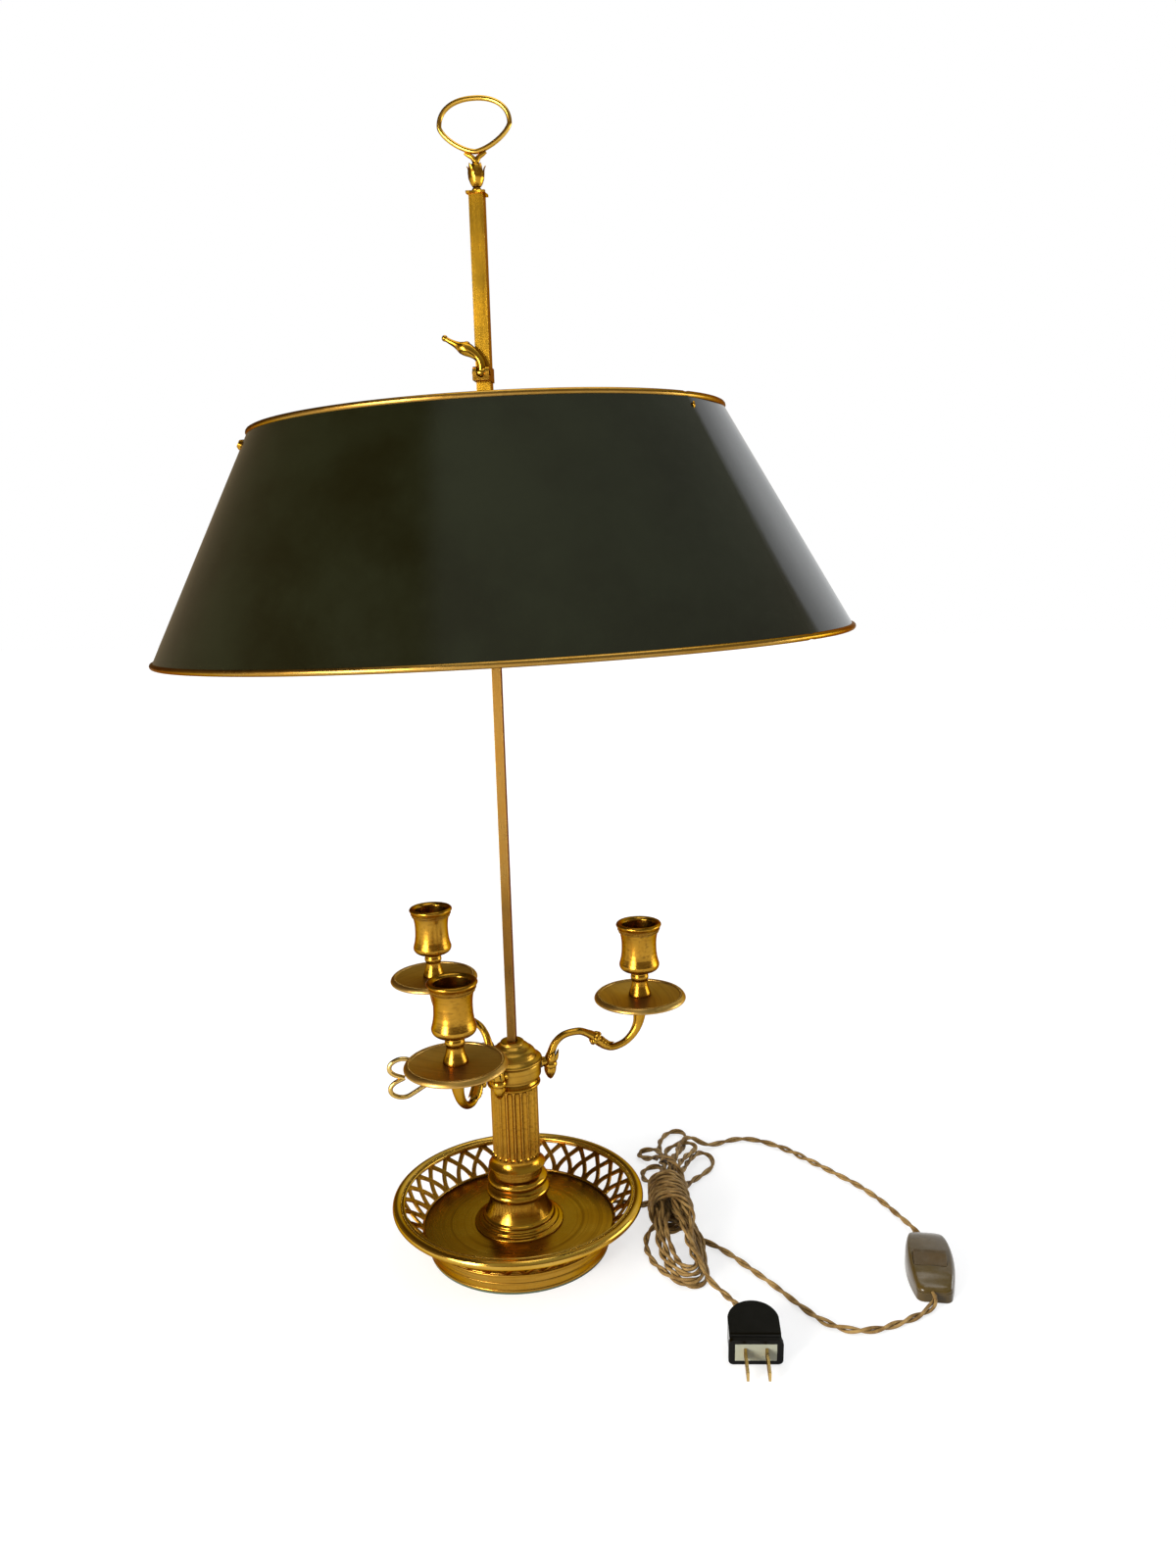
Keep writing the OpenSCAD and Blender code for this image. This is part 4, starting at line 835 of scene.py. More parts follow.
NODE_FINISHES: dict[Finish, tuple[str, ...]] = {
    Finishes.turned: (
        "base_foot", "gallery_rim", "column_base", "column", "arm_collar", "hub_cap",
        "drip_pan_front", "drip_pan_right", "drip_pan_back",
        "candle_cup_front", "candle_cup_right", "candle_cup_back", "cluster_body",
    ),
    Finishes.rod: ("rod",),
    Finishes.drawn: ("shade_rim_top", "shade_rim_bottom"),
    Finishes.sleeve: ("sleeve", "sleeve_cap"),
    Finishes.cast: (
        "candle_arm_front", "candle_arm_right", "candle_arm_back", "clamp_key", "finial_bud", "finial_ring",
        "lever_clip", "lever_pin", "clamp_lever", "spider", "spider_screws",
    ),
    Finishes.pierced: ("gallery",),
    Finishes.enamel: ("shade_sheet",),
    Finishes.steel: ("base_washer", "base_nut", "tie_pipe"),
    Finishes.iron: ("base_weight",),
    Finishes.felt: ("base_felt",),
    Finishes.flex: ("inner_lead",),
    Finishes.holder: ("lampholder_left", "lampholder_right"),
    Finishes.glass: ("bulb_left", "bulb_right"),
    Finishes.switch: ("switch_base", "switch_cover"),
    Finishes.rocker: ("switch_rocker",),
    Finishes.black: ("cord_gland", "plug_body"),
    Finishes.face: ("plug_face",),
    Finishes.blade: ("plug_blades",),
    Finishes.silk: ("cord_inlet", "cord_hank", "cord_to_switch", "cord_from_switch", "cord_to_plug"),
}


# ---------------------------------------------------------------- studio


@dataclass
class Studio:
    """Camera, pale floor, world and lamps."""

    eye: tuple[float, float, float] = (152.2, -750.7, 475.3)
    yaw: float = 0.1257
    pitch: float = 0.1899
    roll: float = -0.02736
    focal_share: float = 1206.7 / 1600
    sensor: float = 36.0
    ambient: float = 0.5
    room_dark: Colour = (0.24, 0.18, 0.11)
    room_above: Colour = (0.42, 0.45, 0.36)
    room_left: Colour = (0.07, 0.042, 0.006)

    def camera(self) -> None:
        """Places the camera."""
        lens = bpy.data.cameras.new("camera")
        lens.sensor_width = self.sensor
        lens.sensor_fit = "AUTO"
        lens.lens = self.focal_share * self.sensor
        lens.clip_start, lens.clip_end = 0.02, 50
        across = Vector((math.cos(self.yaw), math.sin(self.yaw), 0))
        level = Vector((-math.sin(self.yaw), math.cos(self.yaw), 0))
        z = Vector((0, 0, 1))
        ahead = level * math.cos(self.pitch) - z * math.sin(self.pitch)
        up = z * math.cos(self.pitch) + level * math.sin(self.pitch)
        right = across * math.cos(self.roll) + up * math.sin(self.roll)
        top = up * math.cos(self.roll) - across * math.sin(self.roll)
        matrix = Matrix((right, top, -ahead)).transposed().to_4x4()
        matrix.translation = Vector(self.eye) * MM
        camera = bpy.data.objects.new("camera", lens)
        bpy.context.scene.collection.objects.link(camera)
        camera.matrix_world = matrix
        bpy.context.scene.camera = camera

    @staticmethod
    def seen(desk: Desk) -> bpy.types.NodeSocket:
        """One where the ray comes from the camera, a mirror or a clear surface."""
        path = desk.add("ShaderNodeLightPath").outputs
        shiny = desk.math("MAXIMUM", path["Is Glossy Ray"], path["Is Transmission Ray"])
        return desk.math("MAXIMUM", path["Is Camera Ray"], shiny)

    def world(self) -> None:
        """White where it is seen, softer towards the room's side in reflections, and an even light."""
        world = bpy.data.worlds.new("studio")
        bpy.context.scene.world = world
        desk = Desk.cleared(world)
        ray = desk.add("ShaderNodeTexCoord").outputs["Generated"]
        way = desk.add("ShaderNodeSeparateXYZ", {0: ray}).outputs
        above = desk.span(way[2], 0.1, 0.75)
        rear = desk.times(desk.span(way[1], 0.5, 0.95), desk.span(way[0], -0.3, 0.1))
        window = desk.times(desk.span(way[1], 0.53, 0.57), desk.span(way[0], 0.1, 0.3))
        ceiling = desk.blend(desk.span(way[0], -0.36, -0.2), self.room_left, self.room_above)
        room = desk.blend(above, self.room_dark, ceiling)
        room = desk.blend(desk.times(rear, 0.75), room, (1.0, 1.0, 1.0))
        room = desk.blend(window, room, (0.96, 0.98, 1.0))
        camera_ray = desk.add("ShaderNodeLightPath").outputs["Is Camera Ray"]
        shown = desk.add("ShaderNodeBackground", {"Color": desk.blend(camera_ray, room, (1.0, 1.0, 1.0))})
        light = desk.add("ShaderNodeBackground", {"Color": (0.96, 0.98, 1.0), "Strength": self.ambient})
        both = desk.add("ShaderNodeMixShader", {0: self.seen(desk), 1: light.outputs[0], 2: shown.outputs[0]})
        desk.add("ShaderNodeOutputWorld", {"Surface": both.outputs[0]})

    def floor(self) -> None:
        """A wide pale floor that keeps the lamp's shadow."""
        rows = np.array([[[x, y, 0.0] for x in (-6000, 6000)] for y in (-6000, 6000)], float)
        floor = Form().grid(rows, round_rows=False).build("studio_floor")
        made = bpy.data.materials.new("studio_floor")
        desk = Desk.cleared(made)
        paper = desk.add("ShaderNodeBsdfDiffuse", {"Color": (0.42, 0.42, 0.42)})
        far = desk.add("ShaderNodeVectorMath", {0: desk.place()}, operation="LENGTH").outputs["Value"]
        bright = desk.times(self.seen(desk), desk.span(far, 0.5, 1.5, 0.66, 1.0))
        glow = desk.add("ShaderNodeEmission", {"Strength": bright})
        both = desk.add("ShaderNodeAddShader", {0: paper.outputs[0], 1: glow.outputs[0]})
        desk.add("ShaderNodeOutputMaterial", {"Surface": both.outputs[0]})
        floor.data.materials.append(made)

    @staticmethod
    def lamp(
        name: str,
        at: Sequence[float],
        aim: Sequence[float],
        size: tuple[float, float],
        watts: float,
        tint: Colour,
    ) -> None:
        """Adds a soft rectangular lamp.

        Args:
            name: Its name.
            at: Its place, in metres.
            aim: The point that it looks at, in metres.
            size: Its width and height, in metres.
            watts: Its power.
            tint: Its colour.
        """
        data = bpy.data.lights.new(name, "AREA")
        data.shape, data.size, data.size_y = "RECTANGLE", *size
        data.energy, data.color = watts, tint
        lamp = bpy.data.objects.new(name, data)
        bpy.context.scene.collection.objects.link(lamp)
        facing = (Vector(aim) - Vector(at)).to_track_quat("-Z", "Y")
        lamp.matrix_world = Matrix.Translation(at) @ facing.to_matrix().to_4x4()

    def lamps(self) -> None:
        """A tall strip at the left that draws the long highlights, a soft main lamp and a pale fill."""
        self.lamp("strip_left", (-0.62, -1.1, 0.42), (0.0, 0.0, 0.3), (0.3, 0.8), 19, (1.0, 0.97, 0.9))
        self.lamp("main_left", (-1.5, -1.9, 0.75), (0.0, 0.0, 0.3), (1.0, 0.9), 28, (1.0, 0.98, 0.95))
        self.lamp("window_right", (1.9, 0.5, 0.3), (0.0, 0.0, 0.3), (1.0, 0.8), 16, (0.92, 0.96, 1.0))
        self.lamp("top", (0.2, 0.2, 2.3), (0.0, 0.0, 0.0), (1.6, 1.6), 20, (1.0, 1.0, 1.0))

    def build(self) -> None:
        """Builds the whole studio."""
        self.camera()
        self.world()
        self.floor()
        self.lamps()
        bpy.context.scene.view_settings.view_transform = "Standard"


# ---------------------------------------------------------------- cord


@dataclass
class Hank:
    """The wound part of the cord: loops at both ends, held by turns round its waist.

    A pass runs through the waist. Its slot is a place in the waist's round section.
    """

    cord: float = 4.4
    waist_low: float = 13.0
    waist_high: float = 56.0
    waist_x: float = 105.3
    waist_lean: float = -0.138
    waist_y: float = 26.0
    slot_ring: float = 8.2
    flare: float = 1.9
    slots: int = 8
    core: float = 2.3
    lay: float = 0.012
    turns: int = 9
    per_turn: int = 14
    tip_loops: tuple[Points, ...] = (
        (
            (125.5, 7, 6.5), (128.7, -2, 3.5), (130, -13, 2.6), (131.5, -25, 2.6), (132.4, -36, 2.6),
            (129, -45, 3), (121, -47, 3), (111.3, -40, 2.6), (104.5, -32.5, 2.6), (97.6, -24.5, 2.6),
            (92.2, -13.5, 2.6), (89.4, -2, 2.8), (90.6, 8, 6),
        ),
        (
            (121, 6, 12.5), (125.5, -3, 9), (127.3, -14, 7.5), (128.5, -27, 7), (129.6, -37, 6.5),
            (126, -45.6, 6), (118, -46.2, 5.5), (110.5, -38, 4.8), (104.4, -24, 4.5), (100.3, -11, 5.5),
            (97.9, 0, 9),
        ),
        (
            (117, 8, 16), (121.5, -1, 12), (124, -13, 10.2), (126.4, -26, 9.5), (128.8, -35.5, 9),
            (126.5, -43.5, 8.5), (119.5, -45.2, 8), (112, -38, 7.5), (106.6, -25, 7), (102.6, -10, 9.5),
            (100.2, 2, 13),
        ),
        (
            (113.5, 7, 19), (117.5, -4, 15), (121, -16, 12.5), (125.4, -28, 11.5), (127.4, -36.5, 11),
            (124.5, -42.8, 10.5), (117.6, -42, 10), (112.4, -33, 9.5), (108.6, -20, 10), (104.8, -7.5, 13),
            (102.6, 4, 17),
        ),
    )
    head_loops: tuple[Points, ...] = (
        (
            (111, 72, 15), (112.5, 88, 12), (115, 104, 10), (118.5, 116, 8.5), (122.5, 124, 6.5),
            (127.3, 127.5, 4), (131.8, 123.3, 3), (133.8, 114, 2.6), (132.2, 105.6, 2.6),
            (127.8, 98, 2.6), (122.5, 89.7, 3), (116.5, 78.7, 5), (113.5, 68, 8),
        ),
        (
            (94, 69, 9), (88.5, 76.5, 5), (82.5, 83.5, 3), (79.8, 92.5, 2.6), (82, 101, 2.6),
            (88.5, 104, 4), (94, 97, 7.5), (95.5, 86, 10), (96, 71, 13),
        ),
        (
            (107, 74, 19), (110, 92, 15), (115, 108, 11), (120, 121, 8.5), (118.4, 131.6, 7.5),
            (111.5, 135.5, 7), (105, 132, 7), (98.5, 128.5, 5.5), (95.4, 120, 5.5), (98.2, 109, 9),
            (101, 96, 13), (103, 82, 16),
        ),
        (
            (102, 74, 19), (102.5, 86, 17), (104.5, 100, 14), (107.5, 118, 10), (109.8, 136, 6),
            (110.3, 148, 4), (109.3, 159.5, 3), (104.6, 164.6, 2.6), (98.4, 163, 2.6), (93, 154.3, 3),
            (90, 140, 4), (91, 124, 5.5), (93.5, 104, 8), (96.5, 86, 12), (100, 71, 16),
        ),
        (
            (99, 74, 20), (97, 90, 16), (94.5, 104, 12), (91.5, 116, 8.5), (87.3, 125.5, 5),
            (80.5, 129.8, 3), (75.2, 126, 2.6), (76.8, 118.5, 3), (84, 112.5, 5), (91, 104, 10),
            (97, 90, 16),
        ),
    )

    def slot(self, number: int, y: float) -> tuple[float, float, float]:
        """Point of a pass in the waist.

        Args:
            number: The pass's slot; the last two are the middle ones.
            y: Where along the waist.

        Returns:
            The point.
        """
        lie = (y - self.waist_y) * self.lay
        if number < self.slots:
            ring = self.turn_radius(y) - self.cord - 0.1
            a = TURN * number / self.slots + lie
            across, up = ring * math.cos(a), ring * math.sin(a)
        else:
            side = 2 * (number - self.slots) - 1
            across, up = side * self.core * math.cos(lie), side * self.core * math.sin(lie)
        return self.axis_x(y) + across, y, self.axis_z(y) + up

    def turn_radius(self, y: float) -> float:
        """Radius of the turns round the waist, to the cord's middle; they open towards the tip."""
        share = (self.waist_high - y) / (self.waist_high - self.waist_low)
        return self.slot_ring + self.cord + 0.1 + self.flare * min(max(share, 0), 1.2) ** 1.4

    def axis_x(self, y: float) -> float:
        """Where the waist's middle is across the table."""
        return self.waist_x + self.waist_lean * (y - self.waist_y)

    def axis_z(self, y: float) -> float:
        """Height of the waist's middle, with its turns lying on the table."""
        return self.turn_radius(y) + self.cord / 2 + 0.2

    def up_through(self, number: int) -> list[tuple[float, float, float]]:
        """A pass from the tip's end of the waist to its head."""
        return [self.slot(number, y) for y in (self.waist_low + 3, 34, self.waist_high + 2)]

    def down_through(self, number: int) -> list[tuple[float, float, float]]:
        """A pass from the head's end of the waist to its tip."""
        return self.up_through(number)[::-1]

    def winding(self) -> list[tuple[float, float, float]]:
        """The turns round the waist, from its head to its tip."""
        points = []
        steps = self.per_turn * self.turns
        for i in range(steps + 1):
            a = math.radians(20) - TURN * i / self.per_turn
            y = self.waist_high - (self.waist_high - self.waist_low) * i / steps + 0.9 * math.sin(1.7 * a)
            r = self.turn_radius(y) + 0.5 * math.sin(2.3 * a + 1)
            points.append((self.axis_x(y) + r * math.cos(a), y, self.axis_z(y) + r * math.sin(a)))
        return points


@dataclass
class CordSet:
    """The twisted silk cord: from the foot through the hank to the switch, and from there to the plug."""

    width: float = 4.4
    strand: float = 2.25
    pitch: float = 30.0
    grain: float = 3.0
    held_ends: int = 6
    crowd_x: tuple[float, float] = (70.0, 150.0)
    squeeze: float = 0.95
    hank: Hank = field(default_factory=Hank)
    leaving: Points = (
        (50.5, 42.4, 6.5), (59, 49, 4.6), (68, 51, 2.6), (76, 49, 2.4), (84, 47.5, 3.4), (92, 49, 6),
    )
    to_switch: Points = (
        (101.5, 70, 12), (103, 88, 16), (105.5, 106, 15), (107.5, 122, 12.5), (110.5, 134, 10.5),
        (116.5, 141, 8.5), (123, 140, 6), (129, 140.5, 4), (136, 144.5, 2.8), (144.9, 151, 2.4),
        (157, 155.5, 2.4), (171, 153, 2.4), (191, 141, 2.4), (209, 124, 2.4), (227, 106, 2.4),
        (244, 88, 2.4), (258, 68, 2.4), (268, 48, 3), (275, 30, 5), (279.6, 14, 6.4),
    )
    from_switch: Points = (
        (278.2, -45, 6.2), (275.8, -58, 5), (268, -65, 3), (253, -75, 2.4), (236, -83, 2.4),
        (220, -84, 2.4), (206, -77, 2.4), (192, -62, 2.4), (177, -43, 2.4), (161, -24.5, 2.4),
        (148, -10, 2.6), (139, -1.5, 3), (130.5, 4, 4), (122, 7.5, 6.5),
    )
    to_plug: Points = (
        (121.5, 3, 20), (121, -10, 16.5), (123.5, -26, 14.5), (128, -38, 11), (132, -45, 8),
        (136, -49.5, 6), (142, -54.5, 4.5), (148, -64, 5.5), (152.5, -75, 9), (157, -90, 13.4),
    )

    def route_to_switch(self) -> np.ndarray:
        """The first cord's middle line."""
        h = self.hank
        return Curve.through([*self.leaving, h.slot(6, h.waist_high + 1), *self.to_switch], self.grain)

    def route_to_plug(self) -> np.ndarray:
        """The second cord's middle line."""
        h = self.hank
        tips, heads = h.tip_loops, h.head_loops
        points = [*self.from_switch, *h.up_through(7), *heads[0], *h.down_through(0)]
        points += [*tips[0], *h.up_through(5), *heads[1], *h.down_through(4)]
        points += [*tips[1][::-1], *h.up_through(1), *heads[2], *h.down_through(3)]
        points += [*tips[2][::-1], *h.up_through(9), *heads[3], *h.down_through(8)]
        points += [*tips[3][::-1], *h.up_through(2), *heads[4], (106, 72, 24), *h.winding(), *self.to_plug]
        return Curve.through(points, self.grain)

    def settle(self, lines: list[np.ndarray], rounds: int = 70) -> list[np.ndarray]:
        """Moves the cords apart where they share a place; their bends keep their shape.

        Args:
            lines: Middle lines of the cords; their first and last stretches stay.
            rounds: How many small steps are made.

        Returns:
            The settled lines.
        """
        rest = np.vstack(lines)
        owner = np.repeat(np.arange(len(lines)), [len(v) for v in lines])
        index = np.concatenate([np.arange(len(v)) for v in lines])
        from_end = np.concatenate([np.minimum(np.arange(len(v)), np.arange(len(v))[::-1]) for v in lines])
        low_x, high_x = self.crowd_x
        near = (rest[:, 0] < high_x) & (rest[:, 0] > low_x) & (from_end >= self.held_ends)
        work = np.flatnonzero(near)
        away = 3 * self.width / self.grain
        same = (owner[work][:, None] == owner[work][None, :]) & (
            np.abs(index[work][:, None] - index[work][None, :]) < away
        )
        shift = np.zeros_like(rest)
        push_rate, even_rate = 0.16, 0.45
        for _ in range(rounds):
            p = (rest + shift)[work]
            gap = p[:, None, :] - p[None, :, :]
            far = np.sqrt((gap**2).sum(-1)) + 1e-9
            push = np.clip(self.width * self.squeeze - far, 0, None)
            push[same] = 0
            shift[work] += push_rate * (gap / far[..., None] * push[..., None]).sum(1)
            even = shift.copy()
            even[1:-1] = (shift[:-2] + shift[2:]) / 2
            shift[near] += even_rate * (even - shift)[near]
            shift[near, 2] = np.maximum(shift[near, 2], self.width / 2 + 0.1 - rest[near, 2])
        return [Curve.even((rest + shift)[owner == k], self.grain) for k in range(len(lines))]

    def strands(self, name: str, line: np.ndarray) -> bpy.types.Object:
        """Makes the two twisted strands that follow a line.

        Args:
            name: Name of the piece.
            line: The cord's middle line.

        Returns:
            The piece.
        """
        fine = Curve.through(line[::2] if len(line) % 2 else np.vstack([line[::2], line[-1:]]), 1.3)
        side, up = Curve.frames(fine)
        run = Curve.run(fine)
        form = Form()
        b = around(9)
        slack = 1 + 0.18 * np.sin(run / 31.0) + 0.12 * np.sin(run / 12.7 + 1)
        for k in (0, 1):
            a = TURN * run / self.pitch + math.pi * k + 0.5 * np.sin(run / 47.0)
            off = (self.width - self.strand) / 2 * slack
            middle = fine + (np.cos(a) * off)[:, None] * side + (np.sin(a) * off * 0.95)[:, None] * up
            middle[:, 2] = np.maximum(middle[:, 2], self.strand / 2 + 0.05)
            rings = Curve.rings(*Curve.frames(middle), b)
            length = Curve.run(middle)
            lay = np.stack(np.broadcast_arrays(length[:, None], (b / TURN)[None, :]), -1)
            form.grid(middle[:, None, :] + self.strand / 2 * rings, layer=lay)
        return Finishes.silk.put_on(form.build(name, sharp=80))

    def declare(
        self,
        piece: bpy.types.Object,
        line: np.ndarray,
        nodes: Sequence[str],
    ) -> None:
        """Puts a cord on the stand in the place of its solids, and logs its length.

        Args:
            piece: The cord's mesh.
            line: Its middle line in millimetres.
            nodes: The frame's nodes that it stands for.
        """
        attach(piece, "stand")
        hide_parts(*nodes)
        length = float(Curve.run(line)[-1]) * MM
        LOG.info("%s: %.3f m of cord", piece.name, length)

    def build(self, switch: Sequence[bpy.types.Object], plug: Sequence[bpy.types.Object]) -> None:
        """Builds both cords.

        Args:
            switch: The pieces of the cord switch; not used.
            plug: The pieces of the plug; not used.
        """
        first, second = self.settle([self.route_to_switch(), self.route_to_plug()])
        a = self.strands("cord_foot_to_switch", first)
        b = self.strands("cord_switch_to_plug", second)
        self.declare(a, first, ["cord_inlet", "cord_to_switch"])
        self.declare(b, second, ["cord_hank", "cord_from_switch", "cord_to_plug"])


# ---------------------------------------------------------------- building tools


class Profile:
    """Outlines for turned and drawn pieces, as points of (radius, height)."""

    @staticmethod
    def soft(points: Points, radius: float = 0.4, steps: int = 3, closed: bool = False) -> np.ndarray:
        """Rounds the corners of an outline.

        Args:
            points: The outline's corners.
            radius: How far from its corner a rounding starts.
            steps: Pieces of each rounding.
            closed: Whether the last corner leads back to the first.

        Returns:
            The rounded outline.
        """
        p = np.asarray(points, float)
        ring = np.vstack([p[-1:], p, p[:1]]) if closed else p
        out = [] if closed else [p[0]]
        for a, b, c in zip(ring[:-2], ring[1:-1], ring[2:]):
            back, on = np.linalg.norm(a - b), np.linalg.norm(c - b)
            cut = min(radius, 0.45 * back, 0.45 * on)
            for t in np.linspace(0, 1, steps + 1):
                out.append(b + (a - b) / back * cut * (1 - t) ** 2 + (c - b) / on * cut * t**2)
        if not closed:
            out.append(p[-1])
        return np.array(out)

    @staticmethod
    def arc(
        centre: Sequence[float], radius: float, start: float, end: float, steps: int = 8
    ) -> list[list[float]]:
        """Points of an arc between two angles in degrees."""
        turns = [math.radians(start + (end - start) * i / steps) for i in range(steps + 1)]
        return [[centre[0] + radius * math.cos(a), centre[1] + radius * math.sin(a)] for a in turns]


def pearls(form: Form, ring: float, height: float, size: float, count: int, sides: int = 8) -> Form:
    """Adds a ring of small beads round the Z axis.

    Args:
        form: The form that gets them.
        ring: Radius of the ring.
        height: Height of the beads' middles.
        size: Radius of a bead.
        count: How many there are.
        sides: Points round a bead.

    Returns:
        The form.
    """
    up = np.linspace(-math.pi / 2 + 0.3, math.pi / 2 - 0.3, 5)[:, None]
    turns = around(sides)[None, :]
    level = np.cos(up)
    ball = np.stack(np.broadcast_arrays(level * np.cos(turns), level * np.sin(turns), np.sin(up)), -1)
    for turn in around(count):
        form.grid(size * ball + ring * outwards(turn) + [0, 0, height])
    return form


def fitted(
    form: Form, name: str, finish: Finish, body: str, *nodes: str, sharp: float = 38
) -> bpy.types.Object:
    """Makes a piece of the lamp and puts it in the place of the frame's nodes.

    Args:
        form: Its surfaces.
        name: Its name.
        finish: Its finish.
        body: The body that it moves with.
        nodes: The nodes that it stands for.
        sharp: Angle in degrees above which its edges stay sharp.

    Returns:
        The piece.
    """
    piece = finish.put_on(form.build(name, sharp))
    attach(piece, body)
    if nodes:
        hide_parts(*nodes)
    LOG.info("%s: %d faces", name, len(piece.data.polygons))
    return piece


def rounded(node: bpy.types.Object, width: float, steps: int = 2) -> None:
    """Rounds a node's edges with a modifier.

    Args:
        node: The frame's object.
        width: Width of the rounding in millimetres.
        steps: Faces across it.
    """
    edge = node.modifiers.new("rounding", "BEVEL")
    edge.width, edge.segments = width * MM, steps
    edge.limit_method, edge.angle_limit = "ANGLE", math.radians(FACET)
    edge.harden_normals = True


# ---------------------------------------------------------------- foot, gallery and column


@dataclass
class Foot:
    """The tray's drum: a turned shell with fine lines, and its floor."""

    radius: float = 64.0
    inner: float = 61.0
    floor_z: float = 17.0
    under: float = 14.6
    felt: float = 1.2
    flange: float = 67.87
    hole: float = 5.0

    def build(self) -> None:
        """Turns the drum and its floor in one."""
        r, f, top = self.radius, self.felt, self.floor_z
        line = f + (top - f) * 0.5
        outline = [
            [self.hole, self.under], [self.inner - 1, self.under], [self.inner, self.under - 1],
            [self.inner, f], [r - 1, f], [r - 0.4, f + 0.5], [r - 0.4, f + 1.6], [r - 1, f + 2],
            [r - 0.4, f + 2.4], [r + 0.4, line - 1.6], [r + 0.7, line - 0.3], [r + 0.2, line],
            [r + 0.8, line + 0.3], [r + 1, top - 5.6], [r + 0.9, top - 3.6], [r + 1.4, top - 2.4],
            [self.flange, top - 1.4], [self.flange, top], [self.hole, top],
        ]
        form = Form().hoop(outline, 240, 0.5)
        fitted(form, "foot_drum", Finishes.tray, "stand", "base_foot")


@dataclass
class Gallery:
    """The pierced arcade: two families of leaning ribs that cross, between two bands, under a beaded rim."""

    bays: int = 33
    foot_r: float = 66.0
    foot_z: float = 17.0
    height: float = 18.2
    lean: float = 45.0
    wall: float = 1.8
    rib: float = 3.2
    square: float = 0.4
    band: float = 2.6
    rim_bead: float = 3.3
    plain: float = 1.0
    weave: float = 0.22
    flare: float = 0.45

    @property
    def slant(self) -> float:
        """Length of the wall along its slope."""
        return self.height / math.cos(math.radians(self.lean))

    def section(self, along: np.ndarray | float, out: np.ndarray | float) -> tuple[object, object]:
        """Radius and height of a place so far up the slope and so far out from the wall's middle."""
        a = math.radians(self.lean)
        radius = self.foot_r + along * math.sin(a) + out * math.cos(a)
        return radius, self.foot_z + along * math.cos(a) - out * math.sin(a)

    def on_slope(self, turn: np.ndarray, along: np.ndarray, out: np.ndarray) -> np.ndarray:
        """Points on the leaning wall.

        Args:
            turn: Angles round the axis, in radians.
            along: Distances up the slope.
            out: Distances outwards from the wall's middle.

        Returns:
            The points.
        """
        radius, height = self.section(along, out)
        return np.stack([radius * np.cos(turn), radius * np.sin(turn), height], -1)

    def rib_line(self, bay: int, hand: int) -> tuple[np.ndarray, np.ndarray, np.ndarray]:
        """A rib's middle line from its foot to its crown over the next foot.

        Args:
            bay: Number of its foot.
            hand: One for a rib that climbs to the left, minus one for its mirror image.

        Returns:
            Angles, distances up the slope, and how far it stands out of the wall.
        """
        t = np.linspace(0, 1, 22)
        s = 1 - t
        over = 3 * s * s * t * 0.08 + 3 * s * t * t * 0.62 + s**3 * 0.06 + t**3
        up = 3 * s * s * t * 0.34 + 3 * s * t * t * 0.66 + t**3
        bay_turn = TURN / self.bays
        crown = self.slant - self.band
        along = self.plain + (crown - self.plain) * up
        weave = self.weave * hand * np.sin(TURN * up)
        return (bay + hand * over) * bay_turn, along, weave

    def add_rib(self, form: Form, bay: int, hand: int) -> None:
        """Adds one rib, a flat strap with soft edges that widens at both ends."""
        turn, along, weave = self.rib_line(bay, hand)
        line = self.on_slope(turn, along, weave)
        outer = self.on_slope(turn, along, weave + 1.0) - line
        heading = np.gradient(line, axis=0)
        across = np.cross(heading, outer)
        across /= np.linalg.norm(across, axis=1)[:, None]
        b = (np.arange(12) + 0.5) * TURN / 12
        share = np.linspace(0, 1, len(turn))
        width = self.rib / 2 * (1 + self.flare * np.abs(2 * share - 1) ** 6)
        wide = width[:, None] * (np.sign(np.cos(b)) * np.abs(np.cos(b)) ** self.square)[None, :]
        deep = np.sign(np.sin(b)) * np.abs(np.sin(b)) ** self.square * self.wall * 0.46
        form.grid(Curve.beside(line, wide, across, deep[None, :], outer))

    def add_band(self, form: Form, low: float, high: float) -> None:
        """Adds a plain ring of the wall between two distances up the slope."""
        half = self.wall / 2
        places = ((low, half), (high, half), (high, -half), (low, -half))
        corners = [self.section(along, out) for along, out in places]
        form.turned(Profile.soft(corners, 0.35, 2, closed=True), steps=264, looped=True)

    def build(self) -> None:
        """Builds the arcade and its rim."""
        wall = Form()
        for bay in range(self.bays):
            for hand in (1, -1):
                self.add_rib(wall, bay, hand)
        self.add_band(wall, 0.9, 2.1)
        self.add_band(wall, self.slant - self.band - 0.3, self.slant - 0.5)
        fitted(wall, "gallery_arcade", Finishes.pierced, "stand", "gallery")
        rim_r = self.foot_r + self.height * math.tan(math.radians(self.lean))
        top = self.foot_z + self.height
        bead = Profile.arc((rim_r + 0.2, top - 0.2), self.rim_bead, -125, 135, 26)
        step = [[rim_r - 2.1, top + 1.7], [rim_r - 3.4, top + 1.6]]
        inner = Profile.arc((rim_r - 4.2, top + 1.3), 0.95, 30, 270, 12)
        rim = Form().turned(bead + step + inner + [[rim_r - 2.5, top - 0.5]], steps=264, looped=True)
        pearls(rim, rim_r - 2.7, top + 1.75, 0.65, 380)
        fitted(rim, "gallery_rolled_rim", Finishes.rim, "stand", "gallery_rim", sharp=50)


